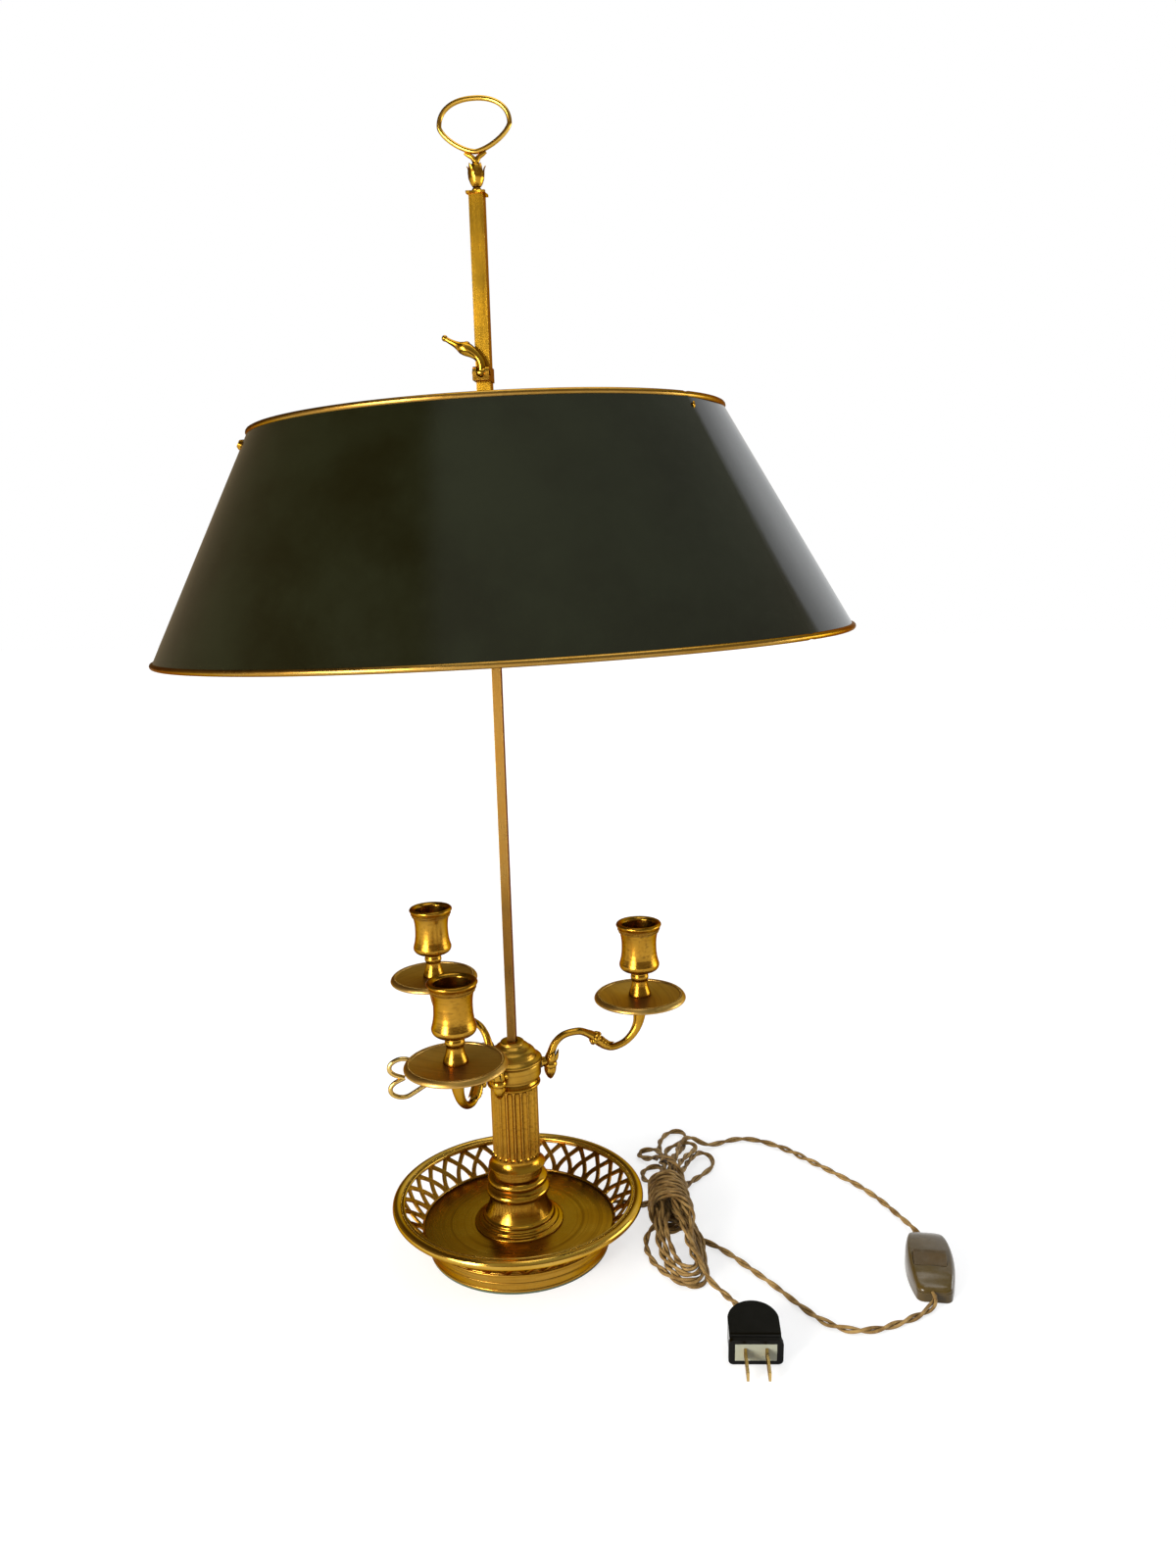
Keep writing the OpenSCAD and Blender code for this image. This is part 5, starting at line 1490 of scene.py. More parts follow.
@dataclass
class Column:
    """The bell, the fluted shaft, the collar and the stepped cap."""

    shaft: float = 16.3
    height: float = 67.0
    foot_z: float = 57.0
    tray_z: float = 17.0
    bell_r: float = 31.2
    bell_h: float = 40.0
    flutes: int = 20
    tool: float = 2.2
    tool_out: float = 0.5
    flute_low: float = 13.0
    low_end: float = 10.4
    flute_high: float = 60.4
    collar_r: float = 19.2
    collar_h: float = 12.8
    cap_h: float = 14.2
    bore: float = 5.0

    def bell(self) -> None:
        """The bell with its stepped foot and the two round rings above it."""
        top, waist, r = self.bell_h, self.shaft + 2.8, self.bell_r
        upper, lower = top - 7, top - 15
        steps = [
            [self.bore, 0], [r - 0.2, 0], [r, 0.4], [r - 0.1, 1.1], [r - 0.8, 1.6], [r - 2.8, 2],
            [r - 3.3, 2.4], [r - 3.3, 3.3], [r - 3.9, 3.9], [r - 5.4, 4.3], [r - 6.2, 5.1],
            [r - 6.3, 6.6], [r - 6.9, 7.3], [r - 7.6, 7.6],
        ]
        outline = list(Profile.soft(steps, 0.3, 3))
        for k in range(1, 29):
            up = k / 28
            outline.append([waist + 0.2 + (r - 8.0 - waist) * (1 - up) ** 1.7, 7.9 + (lower - 11.0) * up])
        outline += Profile.arc((self.shaft + 2.8, lower), 3.1, -74, 74, 14)
        outline += Profile.arc((self.shaft + 1.4, upper), 3.3, -74, 76, 14)
        outline += [[self.shaft + 0.9, upper + 3.8], [self.shaft + 0.9, top], [self.bore, top]]
        form = Form().turned(outline, (0, 0, self.tray_z), 160, looped=True)
        fitted(form, "column_bell", Finishes.turned, "stand", "column_base", sharp=45)

    def flute_depth(self, z: float) -> tuple[float, float]:
        """How the flute's tool meets the shaft at a height.

        Args:
            z: Height above the shaft's foot.

        Returns:
            The tool's radius there, and half the flute's angle in radians; small numbers where there is none.
        """
        beyond = max(self.flute_low - z, z - self.flute_high, 0)
        tool = math.sqrt(max(self.tool**2 - beyond**2, 0))
        out = self.shaft + self.tool_out
        if tool <= self.tool_out + 0.02:
            return 0.0, 0.02
        cosine = (self.shaft**2 + out**2 - tool**2) / (2 * self.shaft * out)
        return tool, max(math.acos(min(cosine, 1)), 0.02)

    def fluted(self) -> None:
        """The shaft between its two mouldings, with round-ended flutes."""
        r, h = self.shaft, self.height
        flare, edge = 3.0, 4.6
        low = [[self.bore, 0], [r + 0.9, 0], [r + 0.9, 2.6], [r + 2.8, 2.9], [r + 3.4, 3.3], [r + 3.4, 4.1]]
        for up in np.linspace(0, 1, 14):
            low.append([r + flare * (1 - up) ** 2, edge + (self.low_end - edge) * up])
        high = [[r, h - 4.6], [r + 0.7, h - 4.4], [r + 1, h - 4.1]]
        high += Profile.arc((r + 0.9, h - 2.9), 1.3, -62, 62, 8)
        high += [[r + 1, h - 1.5], [r + 0.4, h], [self.bore, h]]
        form = Form().turned(low, (0, 0, self.foot_z), 160).turned(high, (0, 0, self.foot_z), 160)
        ends = self.tool * np.sin(np.linspace(0, math.pi / 2, 8))
        levels = [self.low_end, *(self.flute_low - ends[::-1]), 20, 30, 40, 50]
        levels += [*(self.flute_high + ends), h - 4.6]
        inside = np.linspace(-1, 1, 11)
        land = np.array([0.33, 0.66])
        bay = TURN / self.flutes
        rows = []
        for z in levels:
            tool, half = self.flute_depth(z)
            turns = np.concatenate([half * inside, half + (bay - 2 * half) * land])
            out = self.shaft + self.tool_out
            cut = out * np.cos(turns) - np.sqrt(np.clip(tool**2 - (out * np.sin(turns)) ** 2, 0, None))
            radius = np.where((np.abs(turns) <= half) & (tool > 0), np.minimum(cut, r), r)
            a = (np.arange(self.flutes) * bay)[:, None] + turns[None, :]
            full = np.broadcast_to(radius, a.shape)
            row = np.stack([full * np.cos(a), full * np.sin(a), np.full(a.shape, z)], -1)
            rows.append(row.reshape(-1, 3))
        form.grid(np.array(rows) + np.array([0, 0, self.foot_z]), caps=False)
        fitted(form, "column_shaft", Finishes.column, "stand", "column", sharp=30)

    def head(self) -> None:
        """The collar that carries the arms, and the stepped cap."""
        r, h, z = self.collar_r, self.collar_h, self.foot_z + self.height
        outline = [
            [self.bore, 0], [r - 2.6, 0], [r - 2.6, 2], [r - 0.4, 2.6], [r, 3.2], [r, h - 1], [r - 0.6, h],
            [self.bore, h],
        ]
        collar = Form().hoop(outline, 144, 0.5, z)
        fitted(collar, "arm_collar_ring", Finishes.satin, "stand", "arm_collar")
        c = r + 0.9
        outline = [
            [3.4, 0], [c - 0.5, 0], [c, 0.6], [c, 1.6], [c - 1.2, 2.6], [c - 3.4, 3.6], [c - 3.6, 4.6],
            *Profile.arc((c - 8.6, 4.2), 4.6, 20, 75, 5), [c - 8.4, 9.6], [c - 9.2, 10.8], [c - 11.6, 12],
            [c - 11.9, 12.6], [c - 11.9, self.cap_h - 0.6], [c - 12.5, self.cap_h], [3.4, self.cap_h],
        ]
        cap = Form().hoop(outline, 144, 0.5, z + h)
        fitted(cap, "hub_cap_steps", Finishes.satin, "stand", "hub_cap")

    def build(self) -> None:
        """Builds the column from the tray to the rod."""
        self.bell()
        self.fluted()
        self.head()


# ---------------------------------------------------------------- cord switch


@dataclass
class CordSwitch:
    """The cover of the switch on the cord: one smooth crowned shell round the rocker's slot."""

    at: tuple[float, float] = (279.0, -19.5)
    turn: float = -2.8
    shift: tuple[float, float] = (1.0, 4.0)
    length: float = 67.0
    width: float = 31.0
    split_z: float = 6.0
    bulge: float = 110.0
    corner: float = 6.5
    edge: float = 3.4
    slot_half: float = 10.9
    slot_near: float = -10.6
    slot_far: float = 5.5
    floor_z: float = 8.6
    dome: float = 1.5
    squareness: float = 9.0

    def plan(self, count: int = 24) -> np.ndarray:
        """The outline seen from above, with bulging sides and rounded corners."""
        end_y = self.length / 2 - self.corner
        side_x = self.width / 2 - self.bulge
        a = math.asin(end_y / (self.bulge - self.corner))
        corner_x = side_x + (self.bulge - self.corner) * math.cos(a)
        side = Profile.arc((side_x, 0), self.bulge, 0, math.degrees(a), count)
        quarter = side + Profile.arc((corner_x, end_y), self.corner, math.degrees(a), 90, count // 2)[1:]
        half = quarter + [[-x, y] for x, y in quarter[::-1]]
        return np.array(half + [[-x, -y] for x, y in half[1:-1]])

    def crown(self, points: np.ndarray) -> np.ndarray:
        """Height of the crowned top over points of the plan."""
        h = self.length / 2
        ridge = [
            (-h, 9.2), (-h + 2, 10.0), (-h + 5, 10.8), (-h + 9, 11.7), (-h + 12.5, 12.9), (-h + 18, 13.8),
            (-h + 25, 14.6), (0, 15), (h - 17, 14.1), (h - 10, 12.9), (h - 4, 10.9), (h, 8.3),
        ]
        line = Curve.through(np.array(ridge), 0.8)
        across = points[..., 0] / (self.width / 2)
        return np.interp(points[..., 1], line[:, 0], line[:, 1]) - self.dome * across**2

    @property
    def slot_middle(self) -> np.ndarray:
        """Middle of the rocker's slot, from the cover's own middle."""
        return np.array([0.0, (self.slot_near + self.slot_far) / 2]) - np.array(self.shift)

    def slot(self, ways: np.ndarray) -> np.ndarray:
        """The slot's edge in the same directions as the outline's points, with rounded corners."""
        half = np.array([self.slot_half, (self.slot_far - self.slot_near) / 2])
        unit = ways / half
        n = self.squareness
        reach = 1 / (np.abs(unit[:, 0]) ** n + np.abs(unit[:, 1]) ** n) ** (1 / n)
        return self.slot_middle + ways * reach[:, None]

    def build(self) -> bpy.types.Object:
        """Builds the shell up from its edge, over its shoulder and down into the slot; gives the piece."""
        outline = self.plan()
        hole_at = self.slot_middle
        hole = self.slot(outline - hole_at)
        rows = [np.column_stack([outline, np.full(len(outline), self.split_z)])]
        reach = np.linalg.norm(outline - hole, axis=1)
        for k in range(1, 9):
            turn = math.pi / 2 * k / 8
            inset = self.edge * (1 - math.cos(turn))
            p = outline + (hole - outline) * np.minimum(inset / reach, 0.9)[:, None]
            low = self.split_z + 0.4
            rows.append(np.column_stack([p, low + (self.crown(p) - low) * math.sin(turn) ** 0.8]))
        start = rows[-1][:, :2]
        for share in np.linspace(0, 1, 9)[1:]:
            p = start + (hole - start) * share
            rows.append(np.column_stack([p, self.crown(p)]))
        rows.append(rows[-1] - np.array([0, 0, 0.5]))
        inner = hole_at + (hole - hole_at) * 0.985
        rows.append(np.column_stack([inner, self.crown(inner) - 1.0]))
        rows.append(np.column_stack([inner, np.full(len(inner), self.floor_z)]))
        form = Form().grid(np.array(rows), caps=False)
        form.moved(Matrix.Translation((*self.shift, 0)))
        form.moved(Matrix.Translation((*self.at, 0)) @ Matrix.Rotation(math.radians(self.turn), 4, "Z"))
        return fitted(form, "crowned_switch_cover", Finishes.switch, "stand", "switch_cover", sharp=60)


# ---------------------------------------------------------------- arms, pans and cups


def petal(
    form: Form, line: np.ndarray, width: np.ndarray, thick: float, face: Sequence[float], rib: float = 0.35
) -> Form:
    """Adds a leaf: a thin blade along a line, with a raised midrib.

    Args:
        form: The form that gets it.
        line: Points of its middle.
        width: Half its width at each point.
        thick: Half its thickness.
        face: Direction that its face looks in.
        rib: Height of the midrib as a share of its half width.

    Returns:
        The form.
    """
    heading = np.gradient(line, axis=0)
    heading /= np.linalg.norm(heading, axis=1)[:, None]
    across = np.cross(heading, np.asarray(face, float))
    across /= np.linalg.norm(across, axis=1)[:, None]
    over = np.cross(across, heading)
    b = around(12)
    midrib = (1 - np.abs(np.cos(b))) * (np.sin(b) > 0)
    lift = thick * np.sin(b)[None, :] + rib * width[:, None] * midrib[None, :]
    return form.grid(Curve.beside(line, np.cos(b)[None, :] * width[:, None], across, lift, over))


def leaf_width(steps: int, half: float, lobes: float) -> np.ndarray:
    """Half widths of a scalloped leaf from its stem to its point."""
    u = np.linspace(0, 1, steps)
    belly = np.sin(math.pi * (0.18 + 0.82 * u)) ** 0.8
    scallops = 1 + 0.22 * np.abs(np.sin(lobes * math.pi * u))
    return half * belly * scallops + 0.12


@dataclass
class CandleArm:
    """One scroll arm with its leaf knuckle and its acorn, its drip pan and its candle cup."""

    name: str
    angle: float
    reach: float = 91.0
    seat: float = 171.6
    floor: float = 174.4
    lug_z: float = 133.0
    collar: float = 19.2
    pan_r: float = 32.0
    pan_t: float = 1.4
    pan_rise: float = 1.0
    cup_h: float = 52.6
    mouth: float = 15.7
    bore: float = 11.2
    stud: float = 2.4

    def scroll(self) -> tuple[np.ndarray, np.ndarray]:
        """Middle line of the arm and its radius, from the pan down to the acorn."""
        r, s, c = self.reach, self.seat, self.collar
        points = np.array([
            [r, s - 0.1, 5], [r - 0.1, s - 5, 4.7], [r - 0.6, s - 11, 4.3], [r - 1.9, s - 18, 3.5],
            [r - 5.5, s - 25, 2.9], [r - 12, s - 31, 2.5], [r - 20.4, s - 33.6, 2.5],
            [r - 25, s - 32.3, 2.7], [r - 29, s - 29.2, 3.3], [r - 32.2, s - 26, 3.6],
            [r - 35, s - 23.4, 3.2], [r - 39, s - 21.2, 2.7], [(r + 3) / 2, s - 19.4, 2.6],
            [c + 17, s - 20.8, 2.5], [c + 11, s - 25.6, 2.6], [c + 7.8, self.lug_z + 6, 3.0],
            [c + 6.8, self.lug_z - 0.6, 3.7],
        ])
        line = Curve.through(points, 0.9)
        return Curve.upright(line), line[:, 2]

    def arm(self) -> None:
        """The scroll, reeded from its knuckle to the collar, with its leaves and its acorn."""
        line, radius = self.scroll()
        share = np.linspace(0, 1, len(line))
        b = around(36)
        reeds = np.clip((share - 0.6) / 0.06, 0, 1) * np.clip((0.97 - share) / 0.04, 0, 1)
        cut = 1 - 0.07 * reeds[:, None] * np.abs(np.sin(4.5 * b))[None, :]
        rings = Curve.rings(*Curve.frames(line), b)
        form = Form().grid(line[:, None, :] + (radius[:, None] * cut)[..., None] * rings)
        self.knuckle(form)
        self.acorn(form)
        stud = [[0, -1], [self.stud, -1], [self.stud, 11.8], [self.stud - 0.4, 12.6], [0, 12.6]]
        form.turned(stud, (self.reach, 0, self.seat), 24)
        lug = [[0, -5], [1.6, -5], [1.6, 0.3], [4.2, 0.3], [3.4, 1.6], [3.2, 3], [3, 7.4], [0, 7.4]]
        form.turned_across(lug, 24, (self.collar, 0, self.lug_z))
        form.moved(place(self.angle, 0, 0))
        fitted(form, f"scroll_arm_{self.name}", Finishes.cast, "stand", f"candle_arm_{self.name}", sharp=50)

    def knuckle(self, form: Form) -> None:
        """Adds the leafy knuckle: a ring of small lobes, and leaves that lie on the arm beyond it."""
        r, s = self.reach, self.seat
        middle = np.array([r - 33.2, 0, s - 25.0])
        along = np.array([0.74, 0, -0.67])
        over = np.array([0.67, 0, 0.74])
        for k in range(9):
            a = TURN * k / 9
            out = math.cos(a) * over + math.sin(a) * np.array([0, 1, 0])
            base = middle + 2.9 * out - 1.5 * along
            curl = [base + x * along + y * out for x, y in ((0, 0), (1.5, 1.2), (3, 1.5), (4.2, 1.1))]
            fine = Curve.through(curl, 0.45)
            petal(form, fine, leaf_width(len(fine), 1.35, 1), 0.4, out)
        for turn, length in ((0, 14.5), (62, 10.5), (-62, 10.5)):
            a = math.radians(turn)
            path = np.array([r, s]) - [[30.6, 27.4], [28, 30], [24, 32.9], [19, 33.7], [14, 32.2]]
            fine = Curve.through(np.column_stack([path, np.linspace(3.2, 2.5, 5)]), 0.6)
            fine = fine[: int(length / 0.6)]
            lean = np.gradient(fine[:, :2], axis=0)
            lean /= np.linalg.norm(lean, axis=1)[:, None]
            normal = np.column_stack([-lean[:, 1], np.zeros(len(fine)), lean[:, 0]])
            out = math.cos(a) * normal + math.sin(a) * np.array([0, 1, 0])
            rise = fine[:, 2] + 0.15 + 0.8 * np.linspace(0, 1, len(fine)) ** 3
            points = Curve.upright(fine) + rise[:, None] * out
            petal(form, points, leaf_width(len(fine), 2.0, 4), 0.3, out[len(out) // 2], 0.3)

    def acorn(self, form: Form) -> None:
        """Adds the pointed bud at the scroll's end, in its cup of leaves."""
        x, z = self.collar + 6.6, self.lug_z
        bud = [[0, -13.4], [0.6, -13.1], [1.8, -12], [3.1, -9.8], [3.9, -7.6], [4.2, -5.4], [4.1, -4.2]]
        collar = [[4.6, -3.7], [4.9, -3.1], [4.9, -1.6], [4.6, -0.9], [4.1, 0.3], [2.6, 1.1], [0, 1.4]]

        def lobes(turn: np.ndarray, along: np.ndarray) -> np.ndarray:
            """Eight shallow lobes on the bud, and none on its cup."""
            return 0.2 * (np.abs(np.cos(4 * turn)) - 0.6) * (along < 0.55)

        form.turned(bud + collar, (x, 0, z), 40, wave=lobes)
        for k in range(6):
            out = outwards(TURN * k / 6 + 0.3)
            base = np.array([x + 0.3, 0, z])
            rise = [(3.5, -0.6), (4.1, 2.2), (3.9, 5.0), (3.7, 7.3)]
            fine = Curve.through([base + r * out + np.array([0.35 * h, 0, h]) for r, h in rise], 0.7)
            petal(form, fine, leaf_width(len(fine), 1.8, 2), 0.3, out, 0.25)

    def pan(self) -> None:
        """The flat pan, whose milled border rolls over its edge."""
        r, t, up = self.pan_r, self.pan_t, self.pan_rise
        outline = [
            [self.stud + 0.1, -t - 1.4], [6, -t - 1.4], [6, -t], [r - 4.4, -t], [r - 3, -t - 1],
            [r - 1.2, -t - 1.4], [r - 0.3, -t - 1.2], [r, -t - 0.4], [r - 0.3, -1], [r - 0.9, -0.1],
            [r - 1.8, up - 0.3], [r - 2.4, up], [r - 2.8, up - 0.3], [r - 3.6, up - 0.3],
            [r - 4, up - 0.5], [r - 4.1, 0], [self.stud + 0.1, 0],
        ]
        form = Form().hoop(outline, 160, 0.4)
        pearls(form, r - 3.2, up - 0.25, 0.5, 170, 6)
        form.moved(place(self.angle, self.reach, self.floor))
        fitted(form, f"round_pan_{self.name}", Finishes.pan, "stand", f"drip_pan_{self.name}")

    def cup(self) -> None:
        """The candle cup: foot, stem, bulb and flared mouth, with two rows of beads under its lip."""
        m, lip, top = self.mouth, self.cup_h - 0.8, self.cup_h
        outline = [
            [self.stud + 0.1, 0], [7.5, 0], [7.8, 0.5], [7.6, 1.8], [7.0, 3.4], [6.3, 5.2], [5.7, 7.4],
            [5.35, 9.6], [5.3, 10.9], [5.7, 11.7], [6.1, 12.4], [6.2, 13.6], [6, 14.8], [5.6, 15.5],
            [5.6, 16.6], *Profile.arc((9.6, 22.6), 4.3, 268, 385, 12), [12.6, 28], [12.15, 31.5],
            [12, 35], [12, 38], [12.15, 40.5], [12.5, 43], [13.05, 45.4], [13.7, 47.4], [14.5, 49.2],
            [m - 0.4, lip - 1.5], [m, lip - 0.8], [m - 0.2, lip], [m - 0.9, top], [m - 2, top],
            [self.bore + 1.2, top - 0.4], [self.bore, top - 1.6], [self.bore, 28.6],
            [self.stud + 0.1, 28.6],
        ]
        form = Form().hoop(outline, 112, 0.45)
        pearls(form, 13.35, 46.5, 0.65, 72, 6)
        pearls(form, 14.1, 48.3, 0.65, 72, 6)
        form.moved(place(self.angle, self.reach, self.floor))
        fitted(form, f"beaded_cup_{self.name}", Finishes.cup, "stand", f"candle_cup_{self.name}", sharp=48)

    def build(self) -> None:
        """Builds the arm with its pan and cup."""
        self.arm()
        self.pan()
        self.cup()


# ---------------------------------------------------------------- shade


@dataclass
class Shade:
    """The leaning oval shade: one smooth sheet with a lap seam, between two beads."""

    top_a: float = 146.0
    top_b: float = 124.0
    low_a: float = 220.5
    low_b: float = 177.0
    low_z: float = 423.0
    height: float = 135.5
    thick: float = 1.0
    bead: float = 1.9
    lean: float = 1.8
    lean_z: float = 551.0
    seam: float = -30.5
    lap: float = 0.6
    lap_fade: float = 26.0
    flat_deep: float = 1.5
    flat_wide: float = 90.0

    def oval(self, turns: np.ndarray, z: float, out: np.ndarray | float = 0.0) -> np.ndarray:
        """Points of the shade's oval at a height, moved outwards."""
        up = (z - self.low_z) / self.height
        a = self.low_a + (self.top_a - self.low_a) * up + out
        b = self.low_b + (self.top_b - self.low_b) * up + out
        return np.stack([a * np.cos(turns), b * np.sin(turns), np.full(len(turns), z)], -1)

    def leaned(self, form: Form) -> Form:
        """Leans a form as the shade leans on its spider."""
        up = Matrix.Translation((0, 0, self.lean_z))
        return form.moved(up @ Matrix.Rotation(math.radians(-self.lean), 4, "Y") @ up.inverted())

    def sheet(self) -> None:
        """The sheet, whose end lies over its beginning at the seam."""
        seam = math.radians(self.seam)
        turns = seam + np.concatenate([[0.0, 0.0006], np.linspace(0.02, TURN - 0.02, 286), [TURN - 0.0008]])
        mid_share = 0.8
        past = (turns - seam) * self.low_a * mid_share
        before = (TURN - (turns - seam)) * self.low_a * mid_share
        lift = self.lap * np.exp(-before / self.lap_fade) * (turns > seam + 0.0003)
        flat = np.sin(np.clip(past / self.flat_wide, 0, 1) * math.pi) ** 2
        lift += np.where(past < self.flat_wide, -self.flat_deep * flat, 0)
        lift[0] = self.lap
        low, high = self.low_z + 0.5, self.low_z + self.height - 0.5
        half = self.thick / 2 * math.hypot(1, (self.low_a - self.top_a) / self.height)
        levels = np.linspace(low, high, 16)
        share = (levels - low) / (high - low)
        keep = np.sin(math.pi * (0.12 + 0.76 * share))
        outer = [self.oval(turns, z, half + lift * k) for z, k in zip(levels, keep)]
        inner = [self.oval(turns, z, -half + lift * k) for z, k in zip(levels[::-1], keep[::-1])]
        form = self.leaned(Form().grid(np.array(outer + inner), looped=True))
        fitted(form, "shade_lapped_sheet", Finishes.enamel, "shade_carriage", "shade_sheet", sharp=24)

    def rims(self) -> None:
        """The bead along each edge, with a fine joint at the seam."""
        turns = around(360) + math.radians(self.seam)
        for name, z in (("top", self.low_z + self.height), ("bottom", self.low_z)):
            line = self.oval(turns, z)
            radius = np.full(len(turns), self.bead)
            radius[0] -= 0.45
            form = self.leaned(Form().tube(line, radius, 14, looped=True))
            fitted(form, f"shade_bead_{name}", Finishes.bead, "shade_carriage", f"shade_rim_{name}")

    def solder(self) -> None:
        """The drop of solder on the seam, under the upper bead."""
        turn = np.array([math.radians(self.seam + 0.9)])
        spot = self.oval(turn, self.low_z + self.height - 6.0, 0.7)[0]
        ball = [[0, -1.5], [0.9, -1.25], [1.5, -0.6], [1.7, 0], [1.5, 0.6], [0.9, 1.25], [0, 1.5]]
        form = Form().turned(ball, steps=16)
        form.moved(Matrix.Translation(spot) @ Matrix.Diagonal((0.55, 1.1, 1.5, 1)))
        fitted(self.leaned(form), "shade_solder", Finishes.cast, "shade_carriage")

    def build(self) -> None:
        """Builds the sheet, its beads and the solder."""
        self.sheet()
        self.rims()
        self.solder()


# ---------------------------------------------------------------- finial, lever and key


@dataclass
class Finial:
    """The ring that lifts the shade, on a leafy bud with a forked neck."""

    base_z: float = 691.4
    width: float = 45.6
    height: float = 32.2
    wire: float = 2.9
    ring_z: float = 728.7

    def ring(self) -> None:
        """The ring: round above and drawn in to a V below."""
        turns = around(240)
        a, b = (self.width - self.wire) / 2, (self.height - self.wire) / 2
        power = np.where(turns < math.pi, 0.9, 1.35)
        across = a * np.sign(np.cos(turns)) * np.abs(np.cos(turns)) ** power
        up = b * np.sign(np.sin(turns)) * np.abs(np.sin(turns)) ** power
        line = np.column_stack([across, np.zeros(len(turns)), up + self.ring_z])
        form = Form().tube(Curve.even(np.vstack([line, line[:1]]), 0.9)[:-1], self.wire / 2, 16, looped=True)
        fitted(form, "lifting_ring", Finishes.rim, "shade_carriage", "finial_ring")

    def bud(self) -> None:
        """The bud with its leaves, and the fork that spreads into the ring."""
        z = self.base_z
        outline = [
            [0, 0], [2.4, 0], [3.0, 0.6], [3.0, 1.7], [2.2, 2.5], [1.9, 3.2], [2.3, 4.2], [3.2, 6],
            [3.9, 8.4], [4.2, 11], [4.0, 13], [3.2, 15.2], [2.1, 16.2], [1.9, 16.9], [2.2, 17.4],
            [1.6, 18], [0, 18.6],
        ]
        form = Form().turned(Profile.soft(outline, 0.4, 3), (0, 0, z), 48)
        for k in range(5):
            out = outwards(TURN * k / 5 + 0.4)
            rise = [(2.1, 3.4), (3.4, 6), (4.2, 9.2), (4.5, 12), (5.2, 14.4), (6.0, 15.2)]
            fine = Curve.through(np.array([r * out + np.array([0, 0, z + h]) for r, h in rise]), 0.6)
            petal(form, fine, leaf_width(len(fine), 2.3, 4), 0.3, out, 0.18)
        fork = [(0, 15.8, 1.7), (0.6, 17.6, 1.7), (2.0, 19.6, 1.5), (4.4, 20.9, 1.2), (6.6, 22.2, 0.8)]
        for side in (-1, 1):
            fine = Curve.through(np.array(fork) * [side, 1, 1], 0.5)
            form.tube(Curve.upright(fine) + [0, 0, z], fine[:, 2], 14)
        fitted(form, "leafy_bud", Finishes.cast, "shade_carriage", "finial_bud", sharp=50)

    def build(self) -> None:
        """Builds the ring and its bud."""
        self.ring()
        self.bud()


@dataclass
class ClampLever:
    """The lever with a bird's head, whose nose bears on the rod."""

    pivot: tuple[float, float, float] = (0.0, -8.2, 587.0)
    eye_r: float = 2.8
    neck: float = 2.45
    nose: float = 5.1
    pin: float = 1.25

    def build(self) -> None:
        """Builds the head, the neck and the eye that turns on the pin."""
        points = np.array([
            [0, 0.6, self.neck], [0, 4, self.neck], [-0.7, 7, 2.4], [-2.4, 9.6, 2.6], [-5.2, 12, 3.3],
            [-8.4, 13.9, 4.0], [-11.4, 15.1, 3.7], [-13.8, 16.3, 2.6], [-16, 17.5, 1.95],
            [-18.6, 18.9, 1.6], [-21.4, 20.6, 1.45],
        ])
        fine = Curve.through(points, 0.55)
        form = Form().tube(Curve.upright(fine), fine[:, 2], 20)
        ball = np.array([[math.cos(a), math.sin(a)] for a in np.linspace(-math.pi / 2, math.pi / 2, 11)])
        form.turned(1.9 * ball, (-22, 0, 21), 20)
        form.turned(2.2 * ball * [1, 0.8], (-8.6, 0, 17.0), 20)
        for side in (-1, 1):
            form.turned(1.1 * ball, (-10.2, side * 3.25, 15.3), 16)
            form.turned(1.7 * ball * [1, 0.55], (-10.0, side * 2.6, 15.2), 18)
        p, r, n = self.pin, self.eye_r, self.neck
        eye = [[p, -n], [r - 0.3, -n], [r, -n + 0.3], [r, n - 0.3], [r - 0.3, n], [p, n]]
        form.turned_across(eye, 32, looped=True)
        corner = np.array([[-1.5, -1.2], [1.5, -1.2], [1.5, 1.2], [-1.5, 1.2]])
        form.grid(np.array([[[x, y, z] for x, z in corner] for y in (1.2, self.nose)]))
        form.moved(Matrix.Translation(self.pivot))
        fitted(form, "bird_lever", Finishes.cast, "lever", "clamp_lever", sharp=50)


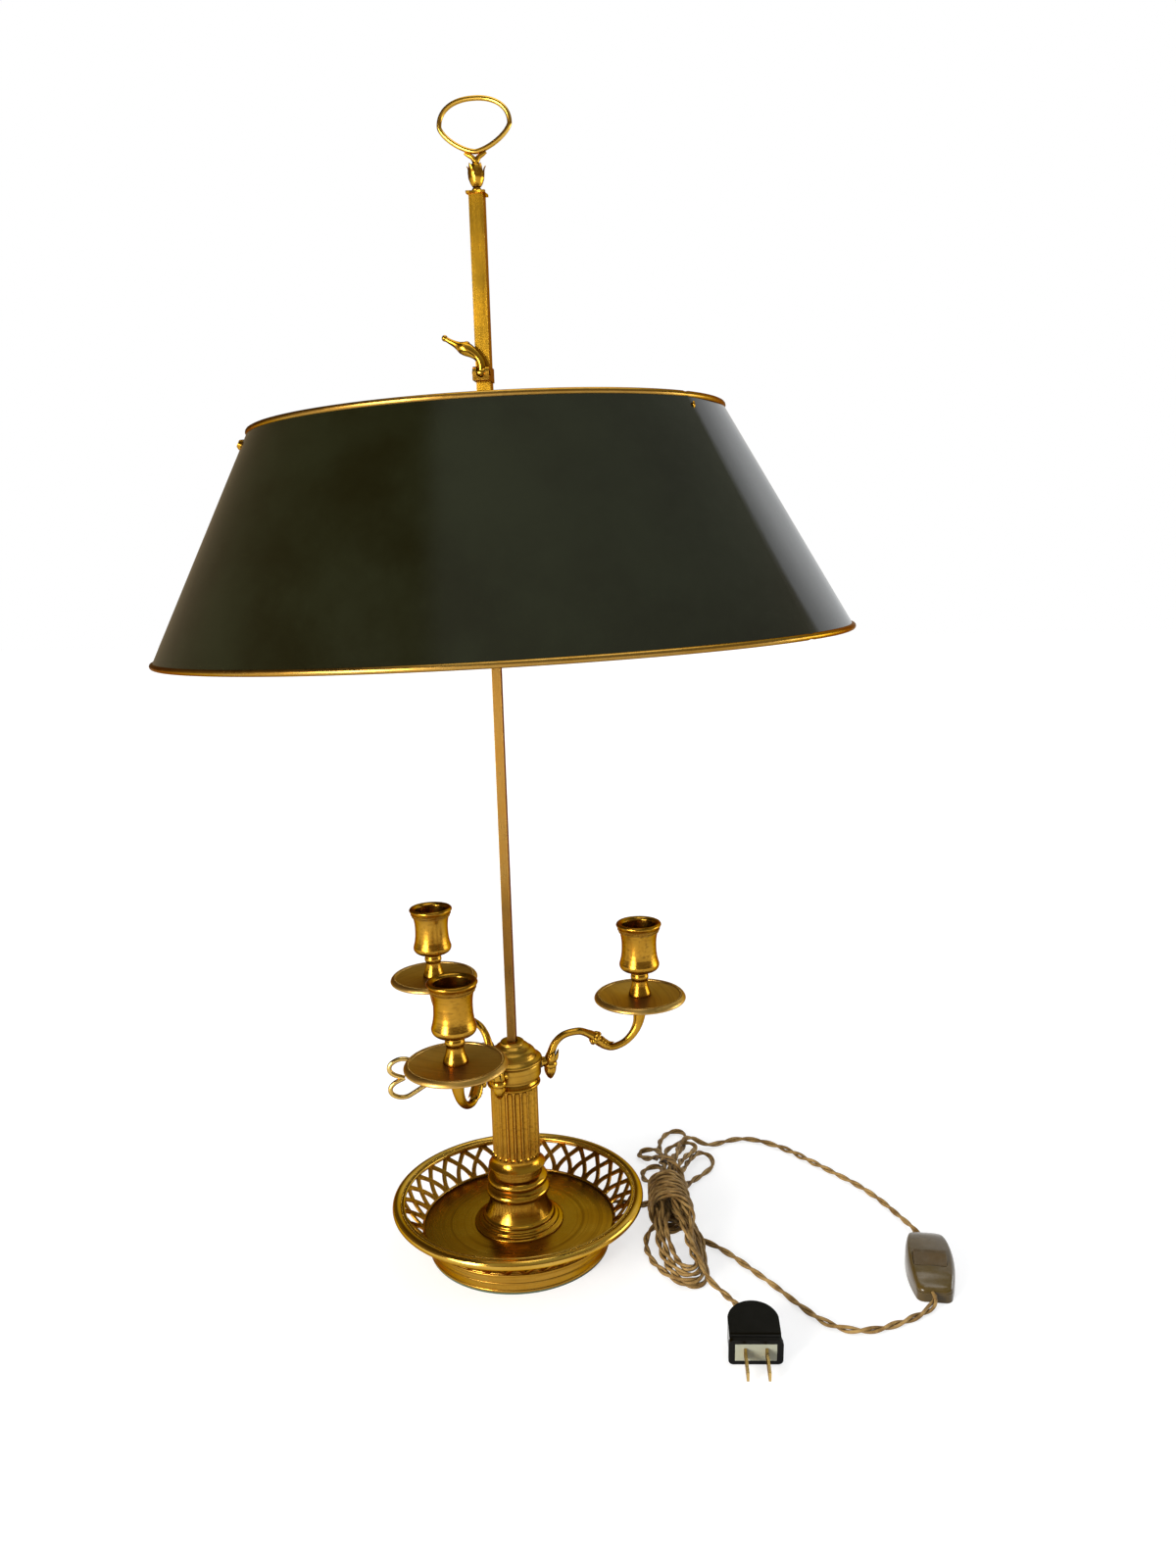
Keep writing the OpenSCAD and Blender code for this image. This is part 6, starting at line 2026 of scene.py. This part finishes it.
@dataclass
class Key:
    """The clamp key: a screw, two collars and a heart of wire."""

    turn: float = 199.0
    height: float = 132.5
    length: float = 85.5
    heart: float = 30.4
    wire: float = 3.2
    start: float = 19.6

    def build(self) -> None:
        """Builds the key along X and turns it to its place."""
        far = self.length - self.wire / 2
        narrow, half = far - 38.5, (self.heart - self.wire) / 2
        lobe = [
            (narrow, 0), (narrow + 8, half * 0.26), (narrow + 16, half * 0.55),
            (narrow + 22.5, half * 0.82), (narrow + 28, half), (narrow + 33.5, half * 0.97),
            (far - 0.6, half * 0.75), (far, half * 0.48), (far - 2.6, half * 0.24), (far - 9.7, 0),
        ]
        form = Form()
        for up in (1, -1):
            fine = Curve.through(np.array([(x, 0.0, up * z) for x, z in lobe]), 0.9)
            form.tube(fine, self.wire / 2, 14)
        x = self.start
        shank = [
            [0, 3.05], [1.9, 3.05], [1.9, x], [4, x], [4, x + 1.2], [3.6, x + 1.9], [4, x + 2.5],
            [3.5, x + 3.1], [3.1, x + 3.3], [3.1, x + 4.4], [2.6, x + 5], [2.2, x + 5.4], [2.0, x + 12],
            [2.0, narrow - 9], [2.5, narrow - 7.5], [2.1, narrow - 6.4], [2.4, narrow - 5.6],
            [3.2, narrow - 4.2], [3.4, narrow - 3], [3.2, narrow - 1.8], [2.3, narrow - 0.4],
            [1.8, narrow + 0.8], [0, narrow + 1.5],
        ]
        form.turned_across(Profile.soft(shank, 0.3, 2), 28)
        form.moved(place(self.turn, 0, self.height))
        fitted(form, "heart_key", Finishes.key, "key", "clamp_key", sharp=50)


# ---------------------------------------------------------------- the whole lamp


ARMS = {"front": -101.0, "right": 19.0, "back": 139.0}
ROUNDINGS = {
    "rod": 0.4, "sleeve": 0.4, "sleeve_cap": 0.3, "lever_clip": 0.6, "lever_pin": 0.2, "spider": 0.4,
    "switch_base": 0.6, "switch_rocker": 0.8, "plug_body": 0.9, "plug_face": 0.3,
    "plug_blades": 0.35, "cord_gland": 0.3,
}


def dress_nodes(nodes: dict[str, bpy.types.Object]) -> None:
    """Gives every node of the frame its finish, and smooth edges where its facets are small."""
    for finish, names in NODE_FINISHES.items():
        for name in names:
            finish.put_on(nodes[name])
            nodes[name].data.set_sharp_from_angle(angle=math.radians(FACET))


def main() -> None:
    """Loads the frame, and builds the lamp's looks on it."""
    logging.basicConfig(level=logging.INFO, format="%(name)s: %(message)s")
    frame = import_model()
    build_effects()
    Studio().build()
    dress_nodes(frame["nodes"])
    LOG.info("finishes on %d nodes", len(frame["nodes"]))
    nodes = frame["nodes"]
    switch = [nodes["switch_base"], CordSwitch().build(), nodes["switch_rocker"]]
    plug = [nodes[n] for n in ("plug_body", "plug_face", "plug_blades")]
    CordSet().build(switch, plug)
    for name, width in ROUNDINGS.items():
        rounded(nodes[name], width)
    Foot().build()
    Gallery().build()
    Column().build()
    for name, angle in ARMS.items():
        CandleArm(name, angle).build()
    Shade().build()
    Finial().build()
    ClampLever().build()
    Key().build()


if __name__ == "__main__":
    main()
